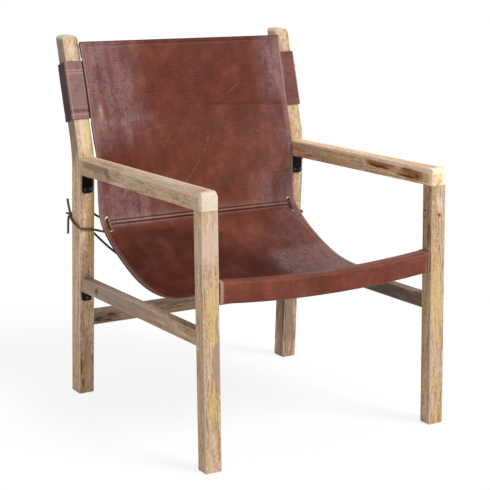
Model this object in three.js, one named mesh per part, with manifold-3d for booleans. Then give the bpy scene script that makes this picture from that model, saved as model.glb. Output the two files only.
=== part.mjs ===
// Leather sling lounge chair: a mango wood frame, dowelled and bracketed together, with one
// leather sheet slung from loops on the raked rear posts down to a dished front rail.
// Millimetres, +Z up. The chair faces -Y and is alike on both sides of X = 0.
// "left" is the -X side, on the left hand of someone who looks at the chair from the front.

import * as THREE from 'three';
import { mergeVertices } from 'three/addons/utils/BufferGeometryUtils.js';
import Module from 'manifold-3d';

const wasm = await Module();
wasm.setup();

// Frame: overall sizes, with depths measured from the bend of the rear posts
const FRAME_WIDTH = 640;
const BACK_HEIGHT = 872;
const ARM_LENGTH = 572;
const ARM_REAR_HEIGHT = 592;
const ARM_FRONT_HEIGHT = 600;
const ARM_THICKNESS = 40;
const ARM_NOSE_RADIUS = 8;

// Posts: all four are as wide as the arms
const POST_WIDTH = 40;
const FRONT_POST_DEPTH = 34;
const FRONT_FOOT_ADVANCE = 20;
const REAR_POST_DEPTH = 44;
const REAR_POST_TOP_DEPTH = 41;
const REAR_FOOT_SETBACK = 25;
const BACK_TOP_SETBACK = 83;
const BEND_HEIGHT = 590;
const BEND_RADIUS = 160;
const REAR_BEND_RADIUS = 220;
const POST_TOP_RADIUS = 10;
const POST_TOP_REAR_RADIUS = 8;

// Rails: two along the sides, one across the back and the dished one that carries the sling
const SIDE_RAIL_WIDTH = 26;
const SIDE_RAIL_HEIGHT = 33;
const SIDE_RAIL_INSET = 5;
const SIDE_RAIL_REAR_TOP = 296;
const SIDE_RAIL_FRONT_TOP = 302;
const CROSS_RAIL_DEPTH = 26;
const CROSS_RAIL_HEIGHT = 35;
const CROSS_RAIL_TOP = 206;
const FRONT_RAIL_DEPTH = 28;
const FRONT_RAIL_HEIGHT = 42;
const FRONT_RAIL_TOP = 407;
const FRONT_RAIL_DISH = 15;
const FRONT_RAIL_EDGE = 4;

// Softened edges and the gap that every butt joint keeps
const FRAME_EDGE = 3;
const RAIL_EDGE = 2;
const JOINT_GAP = 0.3;
const CUT_OVERRUN = 30;

// Dowels
const DOWEL_RADIUS = 5;
const DOWEL_CLEARANCE = 0.3;
const DOWEL_END_ROOM = 1;
const DOWEL_DEPTH_IN_POST = 20;
const DOWEL_DEPTH_IN_RAIL = 25;
const ARM_DOWEL_SPACING = 18;
const FRONT_RAIL_DOWEL_SPACING = 20;

// Angle brackets and their screws
const BRACKET_THICKNESS = 3;
const BRACKET_CORNER_RADIUS = 6;
const ARM_BRACKET_WIDTH = 27;
const ARM_BRACKET_DROP = 46;
const ARM_BRACKET_REACH = 40;
const ARM_SCREW_SPACING = 15;
const RAIL_BRACKET_WIDTH = 25;
const RAIL_BRACKET_DROP = 24;
const RAIL_BRACKET_REACH = 26;
const SCREW_EDGE_DISTANCE = 9;
const SCREW_HEAD_RADIUS = 4.2;
const SCREW_HEAD_HEIGHT = 2.4;
const SCREW_SHANK_RADIUS = 2.1;
const SCREW_LENGTH = 26;
const SCREW_TIP = 4;
const SCREW_CLEARANCE = 0.3;
const RECESS_RADIUS = 2;
const RECESS_DEPTH = 1.4;

// Sling: one sheet, its tuck seam and the sleeve that goes round the front rail
const SLING_SIDE_GAP = 4;
const SLING_LEATHER = 3.5;
const SLING_TOP_HEIGHT = 856;
const SLING_STANDOFF = 8.4;
const TUCK_SEAM_HEIGHT = 433;
const TUCK_FORWARD = 26.5;
const TUCK_WIDTH = 12;
const TUCK_RAISE = 3;
const TUCK_SLOPE = 2;
const SEAT_SAG = 94;
const SEAT_BELLY = 9;
const BACK_HOLLOW = 6;
const SLEEVE_INSET = 2;
const SLEEVE_ROOM = 0.8;
const SLEEVE_LAP = 24;
const LAP_START_BACK = 34;
const STATION_STEP = 46;

// Leather loops on the raked posts, and the screws that keep them from sliding down
const LOOP_LEATHER = 3;
const LOOP_TOP_HEIGHT = 813;
const LOOP_LENGTH = 138;
const LOOP_LAP = 22;
const LOOP_CORNER_RADIUS = 4;
const LOOP_SCREW_SPACING = 90;
const LOOP_SCREW_LENGTH = 20;

// Eyelets beside the tuck seam
const EYELET_EDGE_DISTANCE = 16;
const EYELET_ABOVE_TUCK = 13;
const EYELET_BELOW_TUCK = 17;
const EYELET_HOLE_RADIUS = 3.2;
const EYELET_WALL = 0.6;
const EYELET_FLANGE_RADIUS = 6.4;
const EYELET_BACK_RADIUS = 5.4;
const EYELET_FLANGE = 0.9;
const EYELET_CLEARANCE = 0.3;

// Laces
const LACE_DIAMETER = 5.6;
const KNOT_RADIUS = 5.6;
const LACE_SIDES = 8;
const WRAP_STEPS = 56;
const CROSS_STEPS = 48;
const TAIL_STEPS = 5;

const PIECE_COLOURS = {
  wood: { color: 0xc9ab82, roughness: 0.62, metalness: 0 },
  hiddenWood: { color: 0xb9966b, roughness: 0.7, metalness: 0 },
  leather: { color: 0x75402f, roughness: 0.42, metalness: 0 },
  lace: { color: 0x2a1d18, roughness: 0.6, metalness: 0 },
  blackSteel: { color: 0x0c0c0d, roughness: 0.45, metalness: 0.6 },
  screwSteel: { color: 0x6f6d6a, roughness: 0.35, metalness: 1 },
  nickel: { color: 0xc9c6c0, roughness: 0.22, metalness: 1 },
};

const HALF_WIDTH = FRAME_WIDTH / 2;
const POST_CENTRE = HALF_WIDTH - POST_WIDTH / 2;
const INNER_FACE = HALF_WIDTH - POST_WIDTH;
const SLING_HALF_WIDTH = INNER_FACE - SLING_SIDE_GAP;
const SIDE_RAIL_CENTRE = HALF_WIDTH - SIDE_RAIL_INSET - SIDE_RAIL_WIDTH / 2;
const EDGE_SEGMENTS = 2;
const CORNER_SEGMENTS = 4;
const BEND_SEGMENTS = 6;
const ROUND_SEGMENTS = 12;
const SCREW_SIDES = 8;
const RECESS_SIDES = 6;

const chair = new THREE.Group();
// The frame is centred over the floor, between its front feet and the rear posts' tops
const rearmost = Math.max(...rearPostOutline().map((point) => point.x));
chair.position.y = (ARM_LENGTH + FRONT_FOOT_ADVANCE - rearmost) / 2;

// Faces and lines of the frame, as functions of height or depth

function rearPostFace(height) {
  if (height < BEND_HEIGHT) {
    return REAR_FOOT_SETBACK * (1 - height / BEND_HEIGHT);
  }
  return (BACK_TOP_SETBACK * (height - BEND_HEIGHT)) / (BACK_HEIGHT - BEND_HEIGHT);
}

function armTop(y) {
  return ARM_REAR_HEIGHT - ((ARM_FRONT_HEIGHT - ARM_REAR_HEIGHT) * y) / ARM_LENGTH;
}

function armUnderside(y) {
  return armTop(y) - ARM_THICKNESS;
}

function frontPostFace(height) {
  return -ARM_LENGTH - FRONT_FOOT_ADVANCE * (1 - height / armUnderside(-ARM_LENGTH));
}

function sideRailTop(y) {
  const length = ARM_LENGTH - FRONT_POST_DEPTH;
  return SIDE_RAIL_REAR_TOP - ((SIDE_RAIL_FRONT_TOP - SIDE_RAIL_REAR_TOP) * y) / length;
}

// Solids: closed meshes are joined and cut as manifolds and come back as geometries

function toSolid(geometry) {
  const bare = geometry.clone();
  bare.deleteAttribute('normal');
  bare.deleteAttribute('uv');
  const merged = mergeVertices(bare);
  return new wasm.Manifold(
    new wasm.Mesh({
      numProp: 3,
      vertProperties: Float32Array.from(merged.attributes.position.array),
      triVerts: Uint32Array.from(merged.index.array),
    }),
  );
}

function toGeometry(solid) {
  const mesh = solid.getMesh();
  const geometry = new THREE.BufferGeometry();
  geometry.setAttribute('position', new THREE.BufferAttribute(mesh.vertProperties, 3));
  geometry.setIndex(new THREE.BufferAttribute(mesh.triVerts, 1));
  geometry.computeVertexNormals();
  return geometry;
}

function cutAll(geometry, tools) {
  let solid = toSolid(geometry);
  for (const tool of tools) {
    solid = solid.subtract(toSolid(tool));
  }
  return toGeometry(solid);
}

function addPiece(name, geometry, finish, place = {}) {
  const mesh = new THREE.Mesh(geometry, new THREE.MeshStandardMaterial(PIECE_COLOURS[finish]));
  mesh.name = name;
  if (place.position) {
    mesh.position.copy(place.position);
  }
  if (place.direction) {
    mesh.quaternion.setFromUnitVectors(new THREE.Vector3(0, 1, 0), place.direction);
  }
  if (place.tilt) {
    mesh.rotation.x = place.tilt;
  }
  chair.add(mesh);
  return mesh;
}

// Outlines: a corner is [across, up, radius], and a radius of zero leaves it sharp

function roundedOutline(corners, segments) {
  const points = [];
  corners.forEach(([across, up, radius], index) => {
    const here = new THREE.Vector2(across, up);
    if (!radius) {
      points.push(here);
      return;
    }
    const before = corners[(index + corners.length - 1) % corners.length];
    const after = corners[(index + 1) % corners.length];
    const toBefore = new THREE.Vector2(before[0], before[1]).sub(here).normalize();
    const toAfter = new THREE.Vector2(after[0], after[1]).sub(here).normalize();
    const halfAngle = Math.acos(toBefore.dot(toAfter)) / 2;
    const start = here.clone().addScaledVector(toBefore, radius / Math.tan(halfAngle));
    const end = here.clone().addScaledVector(toAfter, radius / Math.tan(halfAngle));
    const bisector = toBefore.clone().add(toAfter).normalize();
    const centre = here.clone().addScaledVector(bisector, radius / Math.sin(halfAngle));
    const startAngle = Math.atan2(start.y - centre.y, start.x - centre.x);
    let sweep = Math.atan2(end.y - centre.y, end.x - centre.x) - startAngle;
    sweep = Math.atan2(Math.sin(sweep), Math.cos(sweep));
    for (let step = 0; step <= segments; step += 1) {
      const angle = startAngle + (sweep * step) / segments;
      points.push(new THREE.Vector2(Math.cos(angle), Math.sin(angle)).multiplyScalar(radius).add(centre));
    }
  });
  return points;
}

// A side piece has its outline in depth and height, and a front piece in width and height
const SIDE_VIEW = new THREE.Matrix4().makeBasis(
  new THREE.Vector3(0, 1, 0),
  new THREE.Vector3(0, 0, 1),
  new THREE.Vector3(1, 0, 0),
);
const FRONT_VIEW = new THREE.Matrix4().makeBasis(
  new THREE.Vector3(1, 0, 0),
  new THREE.Vector3(0, 0, 1),
  new THREE.Vector3(0, -1, 0),
);

function thickPlate(outline, thickness, edge) {
  const geometry = new THREE.ExtrudeGeometry(new THREE.Shape(outline), {
    depth: thickness - 2 * edge,
    steps: 1,
    bevelEnabled: edge > 0,
    bevelThickness: edge,
    bevelSize: edge,
    bevelOffset: -edge,
    bevelSegments: EDGE_SEGMENTS,
  });
  geometry.translate(0, 0, edge - thickness / 2);
  return geometry;
}

function sidePiece(outline, width, edge) {
  return thickPlate(outline, width, edge).applyMatrix4(SIDE_VIEW);
}

function frontPiece(outline, depth, edge) {
  return thickPlate(outline, depth, edge).applyMatrix4(FRONT_VIEW);
}

// A bore is a plain cylinder from a mouth along a direction, and starts a little outside the wood
function bore(mouth, direction, radius, depth) {
  const geometry = new THREE.CylinderGeometry(radius, radius, depth + JOINT_GAP, ROUND_SEGMENTS);
  geometry.translate(0, (depth - JOINT_GAP) / 2, 0);
  const turn = new THREE.Quaternion().setFromUnitVectors(new THREE.Vector3(0, 1, 0), direction);
  geometry.applyQuaternion(turn);
  geometry.translate(mouth.x, mouth.y, mouth.z);
  return geometry;
}

// Dowels: each is named, crosses one joint and is bored for on both sides of it

const dowels = [];
for (const side of [-1, 1]) {
  const hand = side < 0 ? 'left' : 'right';
  const armJoint = armUnderside(-ARM_LENGTH) - JOINT_GAP / 2;
  const armDowelY = -ARM_LENGTH + FRONT_POST_DEPTH / 2;
  ['outer', 'inner'].forEach((place, index) => {
    const offset = (ARM_DOWEL_SPACING / 2) * (index ? -1 : 1);
    dowels.push({
      name: `arm_dowel_${hand}_${place}`,
      joint: new THREE.Vector3(side * (POST_CENTRE + offset), armDowelY, armJoint),
      direction: new THREE.Vector3(0, 0, 1),
      pieces: [`front_post_${hand}`, `arm_${hand}`],
      depths: [DOWEL_DEPTH_IN_RAIL, DOWEL_DEPTH_IN_RAIL],
    });
  });
  const railHeight = SIDE_RAIL_FRONT_TOP - SIDE_RAIL_HEIGHT / 2;
  const railJoint = frontPostFace(railHeight) + FRONT_POST_DEPTH + JOINT_GAP / 2;
  dowels.push({
    name: `side_rail_dowel_${hand}`,
    joint: new THREE.Vector3(side * SIDE_RAIL_CENTRE, railJoint, railHeight),
    direction: new THREE.Vector3(0, 1, 0),
    pieces: [`front_post_${hand}`, `side_rail_${hand}`],
    depths: [DOWEL_DEPTH_IN_POST, DOWEL_DEPTH_IN_RAIL],
  });
  const innerJoint = side * (INNER_FACE - JOINT_GAP / 2);
  dowels.push({
    name: `cross_rail_dowel_${hand}`,
    joint: new THREE.Vector3(innerJoint, crossRailCentre(), CROSS_RAIL_TOP - CROSS_RAIL_HEIGHT / 2),
    direction: new THREE.Vector3(-side, 0, 0),
    pieces: [`rear_post_${hand}`, 'rear_cross_rail'],
    depths: [DOWEL_DEPTH_IN_POST, DOWEL_DEPTH_IN_RAIL],
  });
  ['upper', 'lower'].forEach((place, index) => {
    const offset = (FRONT_RAIL_DOWEL_SPACING / 2) * (index ? -1 : 1);
    const height = FRONT_RAIL_TOP - FRONT_RAIL_HEIGHT / 2 + offset;
    dowels.push({
      name: `front_rail_dowel_${hand}_${place}`,
      joint: new THREE.Vector3(innerJoint, frontRailCentre(), height),
      direction: new THREE.Vector3(-side, 0, 0),
      pieces: [`front_post_${hand}`, 'front_rail'],
      depths: [DOWEL_DEPTH_IN_POST, DOWEL_DEPTH_IN_RAIL],
    });
  });
}

function crossRailCentre() {
  return rearPostFace(CROSS_RAIL_TOP - CROSS_RAIL_HEIGHT / 2) + REAR_POST_DEPTH / 2;
}

function frontRailFace() {
  const middle = FRONT_RAIL_TOP - FRONT_RAIL_HEIGHT / 2;
  return frontPostFace(middle) + SLEEVE_INSET + SLING_LEATHER + SLEEVE_ROOM;
}

function frontRailCentre() {
  return frontRailFace() + FRONT_RAIL_DEPTH / 2;
}

function dowelBores(piece) {
  const found = [];
  for (const dowel of dowels) {
    const index = dowel.pieces.indexOf(piece);
    if (index >= 0) {
      const direction = dowel.direction.clone().multiplyScalar(index ? 1 : -1);
      const depth = dowel.depths[index] + DOWEL_END_ROOM;
      found.push(bore(dowel.joint, direction, DOWEL_RADIUS + DOWEL_CLEARANCE, depth));
    }
  }
  return found;
}

function addDowels() {
  for (const dowel of dowels) {
    const length = dowel.depths[0] + dowel.depths[1];
    const geometry = new THREE.CylinderGeometry(DOWEL_RADIUS, DOWEL_RADIUS, length, ROUND_SEGMENTS);
    const shift = (dowel.depths[1] - dowel.depths[0]) / 2;
    const position = dowel.joint.clone().addScaledVector(dowel.direction, shift);
    addPiece(dowel.name, geometry, 'hiddenWood', { position, direction: dowel.direction });
  }
}

// Screws: each is named, has its head on the plate or leather that it holds and bites into the wood

const screws = [];

function addScrewPlan(name, seat, direction, length, wood, held) {
  screws.push({ name, seat, direction: direction.clone().normalize(), length, wood, held });
}

for (const side of [-1, 1]) {
  const hand = side < 0 ? 'left' : 'right';
  const plateStack = JOINT_GAP + BRACKET_THICKNESS + JOINT_GAP;
  const armCorner = bracketCorner('arm');
  const railCorner = bracketCorner('rail');
  ['outer', 'inner'].forEach((place, index) => {
    const offset = (ARM_SCREW_SPACING / 2) * (index ? -1 : 1);
    const x = side * (POST_CENTRE + offset);
    const low = armCorner.height - ARM_BRACKET_DROP + SCREW_EDGE_DISTANCE;
    const intoPost = new THREE.Vector3(x, rearPostFace(low) - plateStack, low);
    addScrewPlan(`arm_bracket_screw_${hand}_post_${place}`, intoPost, new THREE.Vector3(0, 1, 0),
      SCREW_LENGTH, `rear_post_${hand}`, `arm_bracket_${hand}`);
    const out = armCorner.depth - ARM_BRACKET_REACH + SCREW_EDGE_DISTANCE;
    const intoArm = new THREE.Vector3(x, out, armUnderside(out) - plateStack);
    addScrewPlan(`arm_bracket_screw_${hand}_arm_${place}`, intoArm, new THREE.Vector3(0, 0, 1),
      SCREW_LENGTH, `arm_${hand}`, `arm_bracket_${hand}`);
  });
  const x = side * SIDE_RAIL_CENTRE;
  const low = railCorner.height - RAIL_BRACKET_DROP + SCREW_EDGE_DISTANCE;
  const intoPost = new THREE.Vector3(x, rearPostFace(low) - plateStack, low);
  addScrewPlan(`rail_bracket_screw_${hand}_post`, intoPost, new THREE.Vector3(0, 1, 0),
    SCREW_LENGTH, `rear_post_${hand}`, `rail_bracket_${hand}`);
  const out = railCorner.depth - RAIL_BRACKET_REACH + SCREW_EDGE_DISTANCE;
  const railUnderside = sideRailTop(out) - SIDE_RAIL_HEIGHT;
  const intoRail = new THREE.Vector3(x, out, railUnderside - plateStack);
  addScrewPlan(`rail_bracket_screw_${hand}_rail`, intoRail, new THREE.Vector3(0, 0, 1),
    SCREW_LENGTH, `side_rail_${hand}`, `rail_bracket_${hand}`);
}

function bracketCorner(kind) {
  const underside = kind === 'arm' ? armUnderside(0) : sideRailTop(0) - SIDE_RAIL_HEIGHT;
  return { depth: rearPostFace(underside), height: underside };
}

const loopTilt = -Math.atan2(BACK_TOP_SETBACK, BACK_HEIGHT - BEND_HEIGHT);
const loopUp = new THREE.Vector3(0, -Math.sin(loopTilt), Math.cos(loopTilt));
const loopBack = new THREE.Vector3(0, Math.cos(loopTilt), Math.sin(loopTilt));
const loopFoot = new THREE.Vector3(0, rearPostFace(LOOP_TOP_HEIGHT), LOOP_TOP_HEIGHT)
  .addScaledVector(loopUp, -LOOP_LENGTH);

// Room inside a loop: the square thickness of the raked post and the gap on both faces
const loopRoom = REAR_POST_TOP_DEPTH * Math.cos(loopTilt) + 2 * JOINT_GAP;

for (const side of [-1, 1]) {
  const hand = side < 0 ? 'left' : 'right';
  ['upper', 'lower'].forEach((place, index) => {
    const along = LOOP_LENGTH / 2 + (LOOP_SCREW_SPACING / 2) * (index ? -1 : 1);
    const seat = loopFoot.clone().addScaledVector(loopUp, along)
      .addScaledVector(loopBack, loopRoom + LOOP_LEATHER);
    seat.x = side * POST_CENTRE;
    addScrewPlan(`loop_screw_${hand}_${place}`, seat, loopBack.clone().negate(),
      LOOP_SCREW_LENGTH, `rear_post_${hand}`, `post_loop_${hand}`);
  });
}

function screwBores(piece) {
  return screws
    .filter((screw) => screw.wood === piece || screw.held === piece)
    .map((screw) => {
      const radius = SCREW_SHANK_RADIUS + SCREW_CLEARANCE;
      return bore(screw.seat, screw.direction, radius, screw.length + DOWEL_END_ROOM);
    });
}

function addScrews() {
  const tipRadius = SCREW_SHANK_RADIUS / 3;
  for (const screw of screws) {
    const profile = [
      [0, screw.length],
      [tipRadius, screw.length],
      [SCREW_SHANK_RADIUS, screw.length - SCREW_TIP],
      [SCREW_SHANK_RADIUS, 0],
      [SCREW_HEAD_RADIUS, 0],
      [SCREW_HEAD_RADIUS, -SCREW_HEAD_HEIGHT / 2],
      [SCREW_HEAD_RADIUS - SCREW_HEAD_HEIGHT / 2, -SCREW_HEAD_HEIGHT],
      [0, -SCREW_HEAD_HEIGHT],
    ].map(([radius, along]) => new THREE.Vector2(radius, along));
    const blank = new THREE.LatheGeometry(profile.reverse(), SCREW_SIDES);
    const deep = 2 * RECESS_DEPTH;
    const recess = new THREE.CylinderGeometry(RECESS_RADIUS, RECESS_RADIUS, deep, RECESS_SIDES);
    recess.translate(0, -SCREW_HEAD_HEIGHT, 0);
    addPiece(screw.name, cutAll(blank, [recess]), 'screwSteel', {
      position: screw.seat,
      direction: screw.direction,
    });
  }
}

// Frame pieces

function rearPostOutline() {
  const lean = REAR_FOOT_SETBACK / BEND_HEIGHT;
  const rake = BACK_TOP_SETBACK / (BACK_HEIGHT - BEND_HEIGHT);
  // The rear face runs parallel to the front face above and below its own bend
  const rise = (REAR_POST_DEPTH - REAR_POST_TOP_DEPTH) / (lean + rake);
  const rearBend = rearPostFace(BEND_HEIGHT) + REAR_POST_DEPTH - lean * rise;
  const topRear = BACK_TOP_SETBACK + REAR_POST_TOP_DEPTH;
  const front = roundedOutline([
    [REAR_FOOT_SETBACK, 0, 0],
    [0, BEND_HEIGHT, BEND_RADIUS],
    [BACK_TOP_SETBACK, BACK_HEIGHT, 0],
  ], BEND_SEGMENTS);
  const rear = roundedOutline([
    [topRear, BACK_HEIGHT, POST_TOP_REAR_RADIUS],
    [rearBend, BEND_HEIGHT + rise, REAR_BEND_RADIUS],
    [REAR_FOOT_SETBACK + REAR_POST_DEPTH, 0, 0],
    [REAR_FOOT_SETBACK, 0, 0],
    [BACK_TOP_SETBACK, BACK_HEIGHT, 0],
  ], BEND_SEGMENTS);
  return [...front, ...rear.slice(0, -2)].reverse();
}

function rearPost(side, hand) {
  const bentBar = sidePiece(rearPostOutline(), POST_WIDTH, FRAME_EDGE);
  const roundedTop = frontPiece(roundedOutline([
    [-POST_WIDTH / 2, 0, 0],
    [POST_WIDTH / 2, 0, 0],
    [POST_WIDTH / 2, BACK_HEIGHT, POST_TOP_RADIUS],
    [-POST_WIDTH / 2, BACK_HEIGHT, POST_TOP_RADIUS],
  ], CORNER_SEGMENTS), 2 * (BACK_TOP_SETBACK + REAR_POST_TOP_DEPTH + CUT_OVERRUN), 0);
  const blank = toGeometry(toSolid(bentBar).intersect(toSolid(roundedTop)));
  blank.translate(side * POST_CENTRE, 0, 0);
  const name = `rear_post_${hand}`;
  addPiece(name, cutAll(blank, [...dowelBores(name), ...screwBores(name)]), 'wood');
}

function frontPostOutline() {
  const footFront = frontPostFace(0);
  const topFront = -ARM_LENGTH;
  const topRear = topFront + FRONT_POST_DEPTH;
  return [
    new THREE.Vector2(footFront, 0),
    new THREE.Vector2(footFront + FRONT_POST_DEPTH, 0),
    new THREE.Vector2(topRear, armUnderside(topRear) - JOINT_GAP),
    new THREE.Vector2(topFront, armUnderside(topFront) - JOINT_GAP),
  ];
}

function frontPost(side, hand) {
  const name = `front_post_${hand}`;
  const blank = sidePiece(frontPostOutline(), POST_WIDTH, FRAME_EDGE);
  blank.translate(side * POST_CENTRE, 0, 0);
  addPiece(name, cutAll(blank, dowelBores(name)), 'wood');
}

// Cutters that let an arm or a rail end butt against a post with the joint gap
function rearPostCutter() {
  const cutter = sidePiece(rearPostOutline(), FRAME_WIDTH + CUT_OVERRUN, 0);
  return cutter.translate(0, -JOINT_GAP, 0);
}

function frontPostCutter() {
  const cutter = sidePiece(frontPostOutline(), FRAME_WIDTH + CUT_OVERRUN, 0);
  return cutter.translate(0, JOINT_GAP, 0);
}

function arm(side, hand) {
  const name = `arm_${hand}`;
  const buried = REAR_POST_DEPTH / 2;
  const outline = roundedOutline([
    [-ARM_LENGTH, armUnderside(-ARM_LENGTH), 0],
    [buried, armUnderside(buried), 0],
    [buried, armTop(buried), 0],
    [-ARM_LENGTH, armTop(-ARM_LENGTH), ARM_NOSE_RADIUS],
  ], CORNER_SEGMENTS);
  const blank = sidePiece(outline, POST_WIDTH, FRAME_EDGE);
  blank.translate(side * POST_CENTRE, 0, 0);
  const cuts = [rearPostCutter(), ...dowelBores(name), ...screwBores(name)];
  addPiece(name, cutAll(blank, cuts), 'wood');
}

function sideRail(side, hand) {
  const name = `side_rail_${hand}`;
  const buried = REAR_POST_DEPTH / 2;
  const far = FRONT_POST_DEPTH / 2 - ARM_LENGTH;
  const outline = [
    new THREE.Vector2(far, sideRailTop(far) - SIDE_RAIL_HEIGHT),
    new THREE.Vector2(buried, sideRailTop(buried) - SIDE_RAIL_HEIGHT),
    new THREE.Vector2(buried, sideRailTop(buried)),
    new THREE.Vector2(far, sideRailTop(far)),
  ];
  const blank = sidePiece(outline, SIDE_RAIL_WIDTH, RAIL_EDGE);
  blank.translate(side * SIDE_RAIL_CENTRE, 0, 0);
  const cuts = [rearPostCutter(), frontPostCutter(), ...dowelBores(name), ...screwBores(name)];
  addPiece(name, cutAll(blank, cuts), 'wood');
}

function rearCrossRail() {
  const name = 'rear_cross_rail';
  const length = 2 * (INNER_FACE - JOINT_GAP);
  const outline = [
    new THREE.Vector2(-CROSS_RAIL_DEPTH / 2, -CROSS_RAIL_HEIGHT),
    new THREE.Vector2(CROSS_RAIL_DEPTH / 2, -CROSS_RAIL_HEIGHT),
    new THREE.Vector2(CROSS_RAIL_DEPTH / 2, 0),
    new THREE.Vector2(-CROSS_RAIL_DEPTH / 2, 0),
  ];
  const bar = new THREE.ExtrudeGeometry(new THREE.Shape(outline), { depth: length, bevelEnabled: false });
  bar.translate(0, 0, -length / 2);
  bar.applyMatrix4(SIDE_VIEW);
  bar.translate(0, crossRailCentre(), CROSS_RAIL_TOP);
  addPiece(name, cutAll(bar, dowelBores(name)), 'wood');
}

function dish(x) {
  return 1 - (x / INNER_FACE) ** 2;
}

function frontRail() {
  const name = 'front_rail';
  const end = INNER_FACE - JOINT_GAP;
  const stations = 16;
  const top = [];
  const bottom = [];
  for (let index = 0; index <= stations; index += 1) {
    const x = end * ((2 * index) / stations - 1);
    const height = FRONT_RAIL_TOP - FRONT_RAIL_DISH * dish(x);
    top.push(new THREE.Vector2(x, height));
    bottom.push(new THREE.Vector2(x, height - FRONT_RAIL_HEIGHT));
  }
  const rail = frontPiece([...bottom, ...top.reverse()], FRONT_RAIL_DEPTH, FRONT_RAIL_EDGE);
  rail.translate(0, frontRailCentre(), 0);
  addPiece(name, cutAll(rail, dowelBores(name)), 'wood');
}

// Angle brackets: one leg down the rear post, the other forward under the arm or the side rail

function bracket(kind, side, hand) {
  const isArm = kind === 'arm';
  const width = isArm ? ARM_BRACKET_WIDTH : RAIL_BRACKET_WIDTH;
  const drop = isArm ? ARM_BRACKET_DROP : RAIL_BRACKET_DROP;
  const reachOut = isArm ? ARM_BRACKET_REACH : RAIL_BRACKET_REACH;
  const centre = isArm ? POST_CENTRE : SIDE_RAIL_CENTRE;
  const underside = isArm ? armUnderside : (y) => sideRailTop(y) - SIDE_RAIL_HEIGHT;
  const corner = bracketCorner(kind);
  const low = corner.height - drop;
  const far = corner.depth - reachOut;
  const near = corner.depth - JOINT_GAP;
  const inside = near - BRACKET_THICKNESS;
  const inTop = (y) => underside(y) - JOINT_GAP;
  const outline = [
    new THREE.Vector2(rearPostFace(low) - JOINT_GAP - BRACKET_THICKNESS, low),
    new THREE.Vector2(rearPostFace(low) - JOINT_GAP, low),
    new THREE.Vector2(near, inTop(near)),
    new THREE.Vector2(far, inTop(far)),
    new THREE.Vector2(far, inTop(far) - BRACKET_THICKNESS),
    new THREE.Vector2(inside, inTop(inside) - BRACKET_THICKNESS),
  ];
  const plate = sidePiece(outline, width, 0);
  const face = frontPiece(roundedOutline([
    [-width / 2, low, BRACKET_CORNER_RADIUS],
    [width / 2, low, BRACKET_CORNER_RADIUS],
    [width / 2, corner.height + CUT_OVERRUN, 0],
    [-width / 2, corner.height + CUT_OVERRUN, 0],
  ], CORNER_SEGMENTS), 2 * (reachOut + CUT_OVERRUN), 0);
  const blank = toGeometry(toSolid(plate).intersect(toSolid(face)));
  blank.translate(side * centre, 0, 0);
  const name = `${kind}_bracket_${hand}`;
  addPiece(name, cutAll(blank, screwBores(name)), 'blackSteel');
}

// Sling: its face is a curve in depth and height, drawn from the top edge to the sleeve

// [share of the height from tuck to top edge, share of the tuck's forward offset]
const backShares = [
  [1, 0], [0.792, 0], [0.584, 0], [0.454, 0.04], [0.348, 0.02],
  [0.218, 0.196], [0.099, 0.41], [0.038, 0.62], [0, 1],
];
// [share of the run from tuck to front rail, share of the sag below the straight line between them]
const seatShares = [
  [0.029, 0.152], [0.083, 0.35], [0.16, 0.564], [0.257, 0.772], [0.363, 0.936], [0.469, 1],
  [0.566, 0.983], [0.662, 0.894], [0.759, 0.743], [0.846, 0.571], [0.923, 0.338], [0.975, 0.113],
];

function slingFace() {
  const points = backShares.map(([heightShare, bowShare]) => {
    const height = TUCK_SEAM_HEIGHT + (SLING_TOP_HEIGHT - TUCK_SEAM_HEIGHT) * heightShare;
    return new THREE.Vector2(rearPostFace(height) - SLING_STANDOFF - TUCK_FORWARD * bowShare, height);
  });
  const tuck = points[points.length - 1];
  const outer = SLING_LEATHER + SLEEVE_ROOM;
  const railRear = frontRailFace() + FRONT_RAIL_DEPTH + outer;
  const railTop = FRONT_RAIL_TOP + outer - FRONT_RAIL_EDGE - outer / 2;
  for (const [runShare, sagShare] of seatShares) {
    points.push(new THREE.Vector2(
      tuck.x + (railRear - tuck.x) * runShare,
      tuck.y + (railTop - tuck.y) * runShare - SEAT_SAG * sagShare,
    ));
  }
  return { curve: new THREE.SplineCurve(points), tuck };
}

// Stations along the sling: place, normal towards the sitter, and how far the middle drops there
function slingStations() {
  const { curve, tuck } = slingFace();
  const length = curve.getLength();
  const samples = curve.getSpacedPoints(Math.round(length));
  let tuckIndex = 0;
  samples.forEach((point, index) => {
    if (point.distanceTo(tuck) < samples[tuckIndex].distanceTo(tuck)) {
      tuckIndex = index;
    }
  });
  const tuckAt = tuckIndex / (samples.length - 1);
  const half = TUCK_WIDTH / 2 / length;
  const slope = TUCK_SLOPE / length;
  const wanted = [];
  const count = Math.round(length / STATION_STEP);
  for (let index = 0; index <= count; index += 1) {
    const at = index / count;
    if (Math.abs(at - tuckAt) > half + slope) {
      wanted.push(at);
    }
  }
  wanted.push(tuckAt - half, tuckAt - half + slope, tuckAt + half - slope, tuckAt + half);
  wanted.sort((first, second) => first - second);
  const stations = wanted.map((at) => {
    const point = curve.getPointAt(at);
    const tangent = curve.getTangentAt(at);
    const seatShare = Math.max(0, (at - tuckAt) / (1 - tuckAt));
    const backShare = Math.max(0, (tuckAt - at) / tuckAt);
    const ease = THREE.MathUtils.smoothstep(seatShare, 0.05, 0.7);
    return {
      point,
      normal: new THREE.Vector2(tangent.y, -tangent.x),
      drop: FRONT_RAIL_DISH * ease + SEAT_BELLY * Math.sin(Math.PI * seatShare) ** 2,
      hollow: BACK_HOLLOW * Math.sin(Math.PI * backShare) ** 2,
      raise: Math.abs(at - tuckAt) < half - slope / 2 ? TUCK_RAISE : 0,
    };
  });
  return { stations, curve, tuckAt, length };
}

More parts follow.
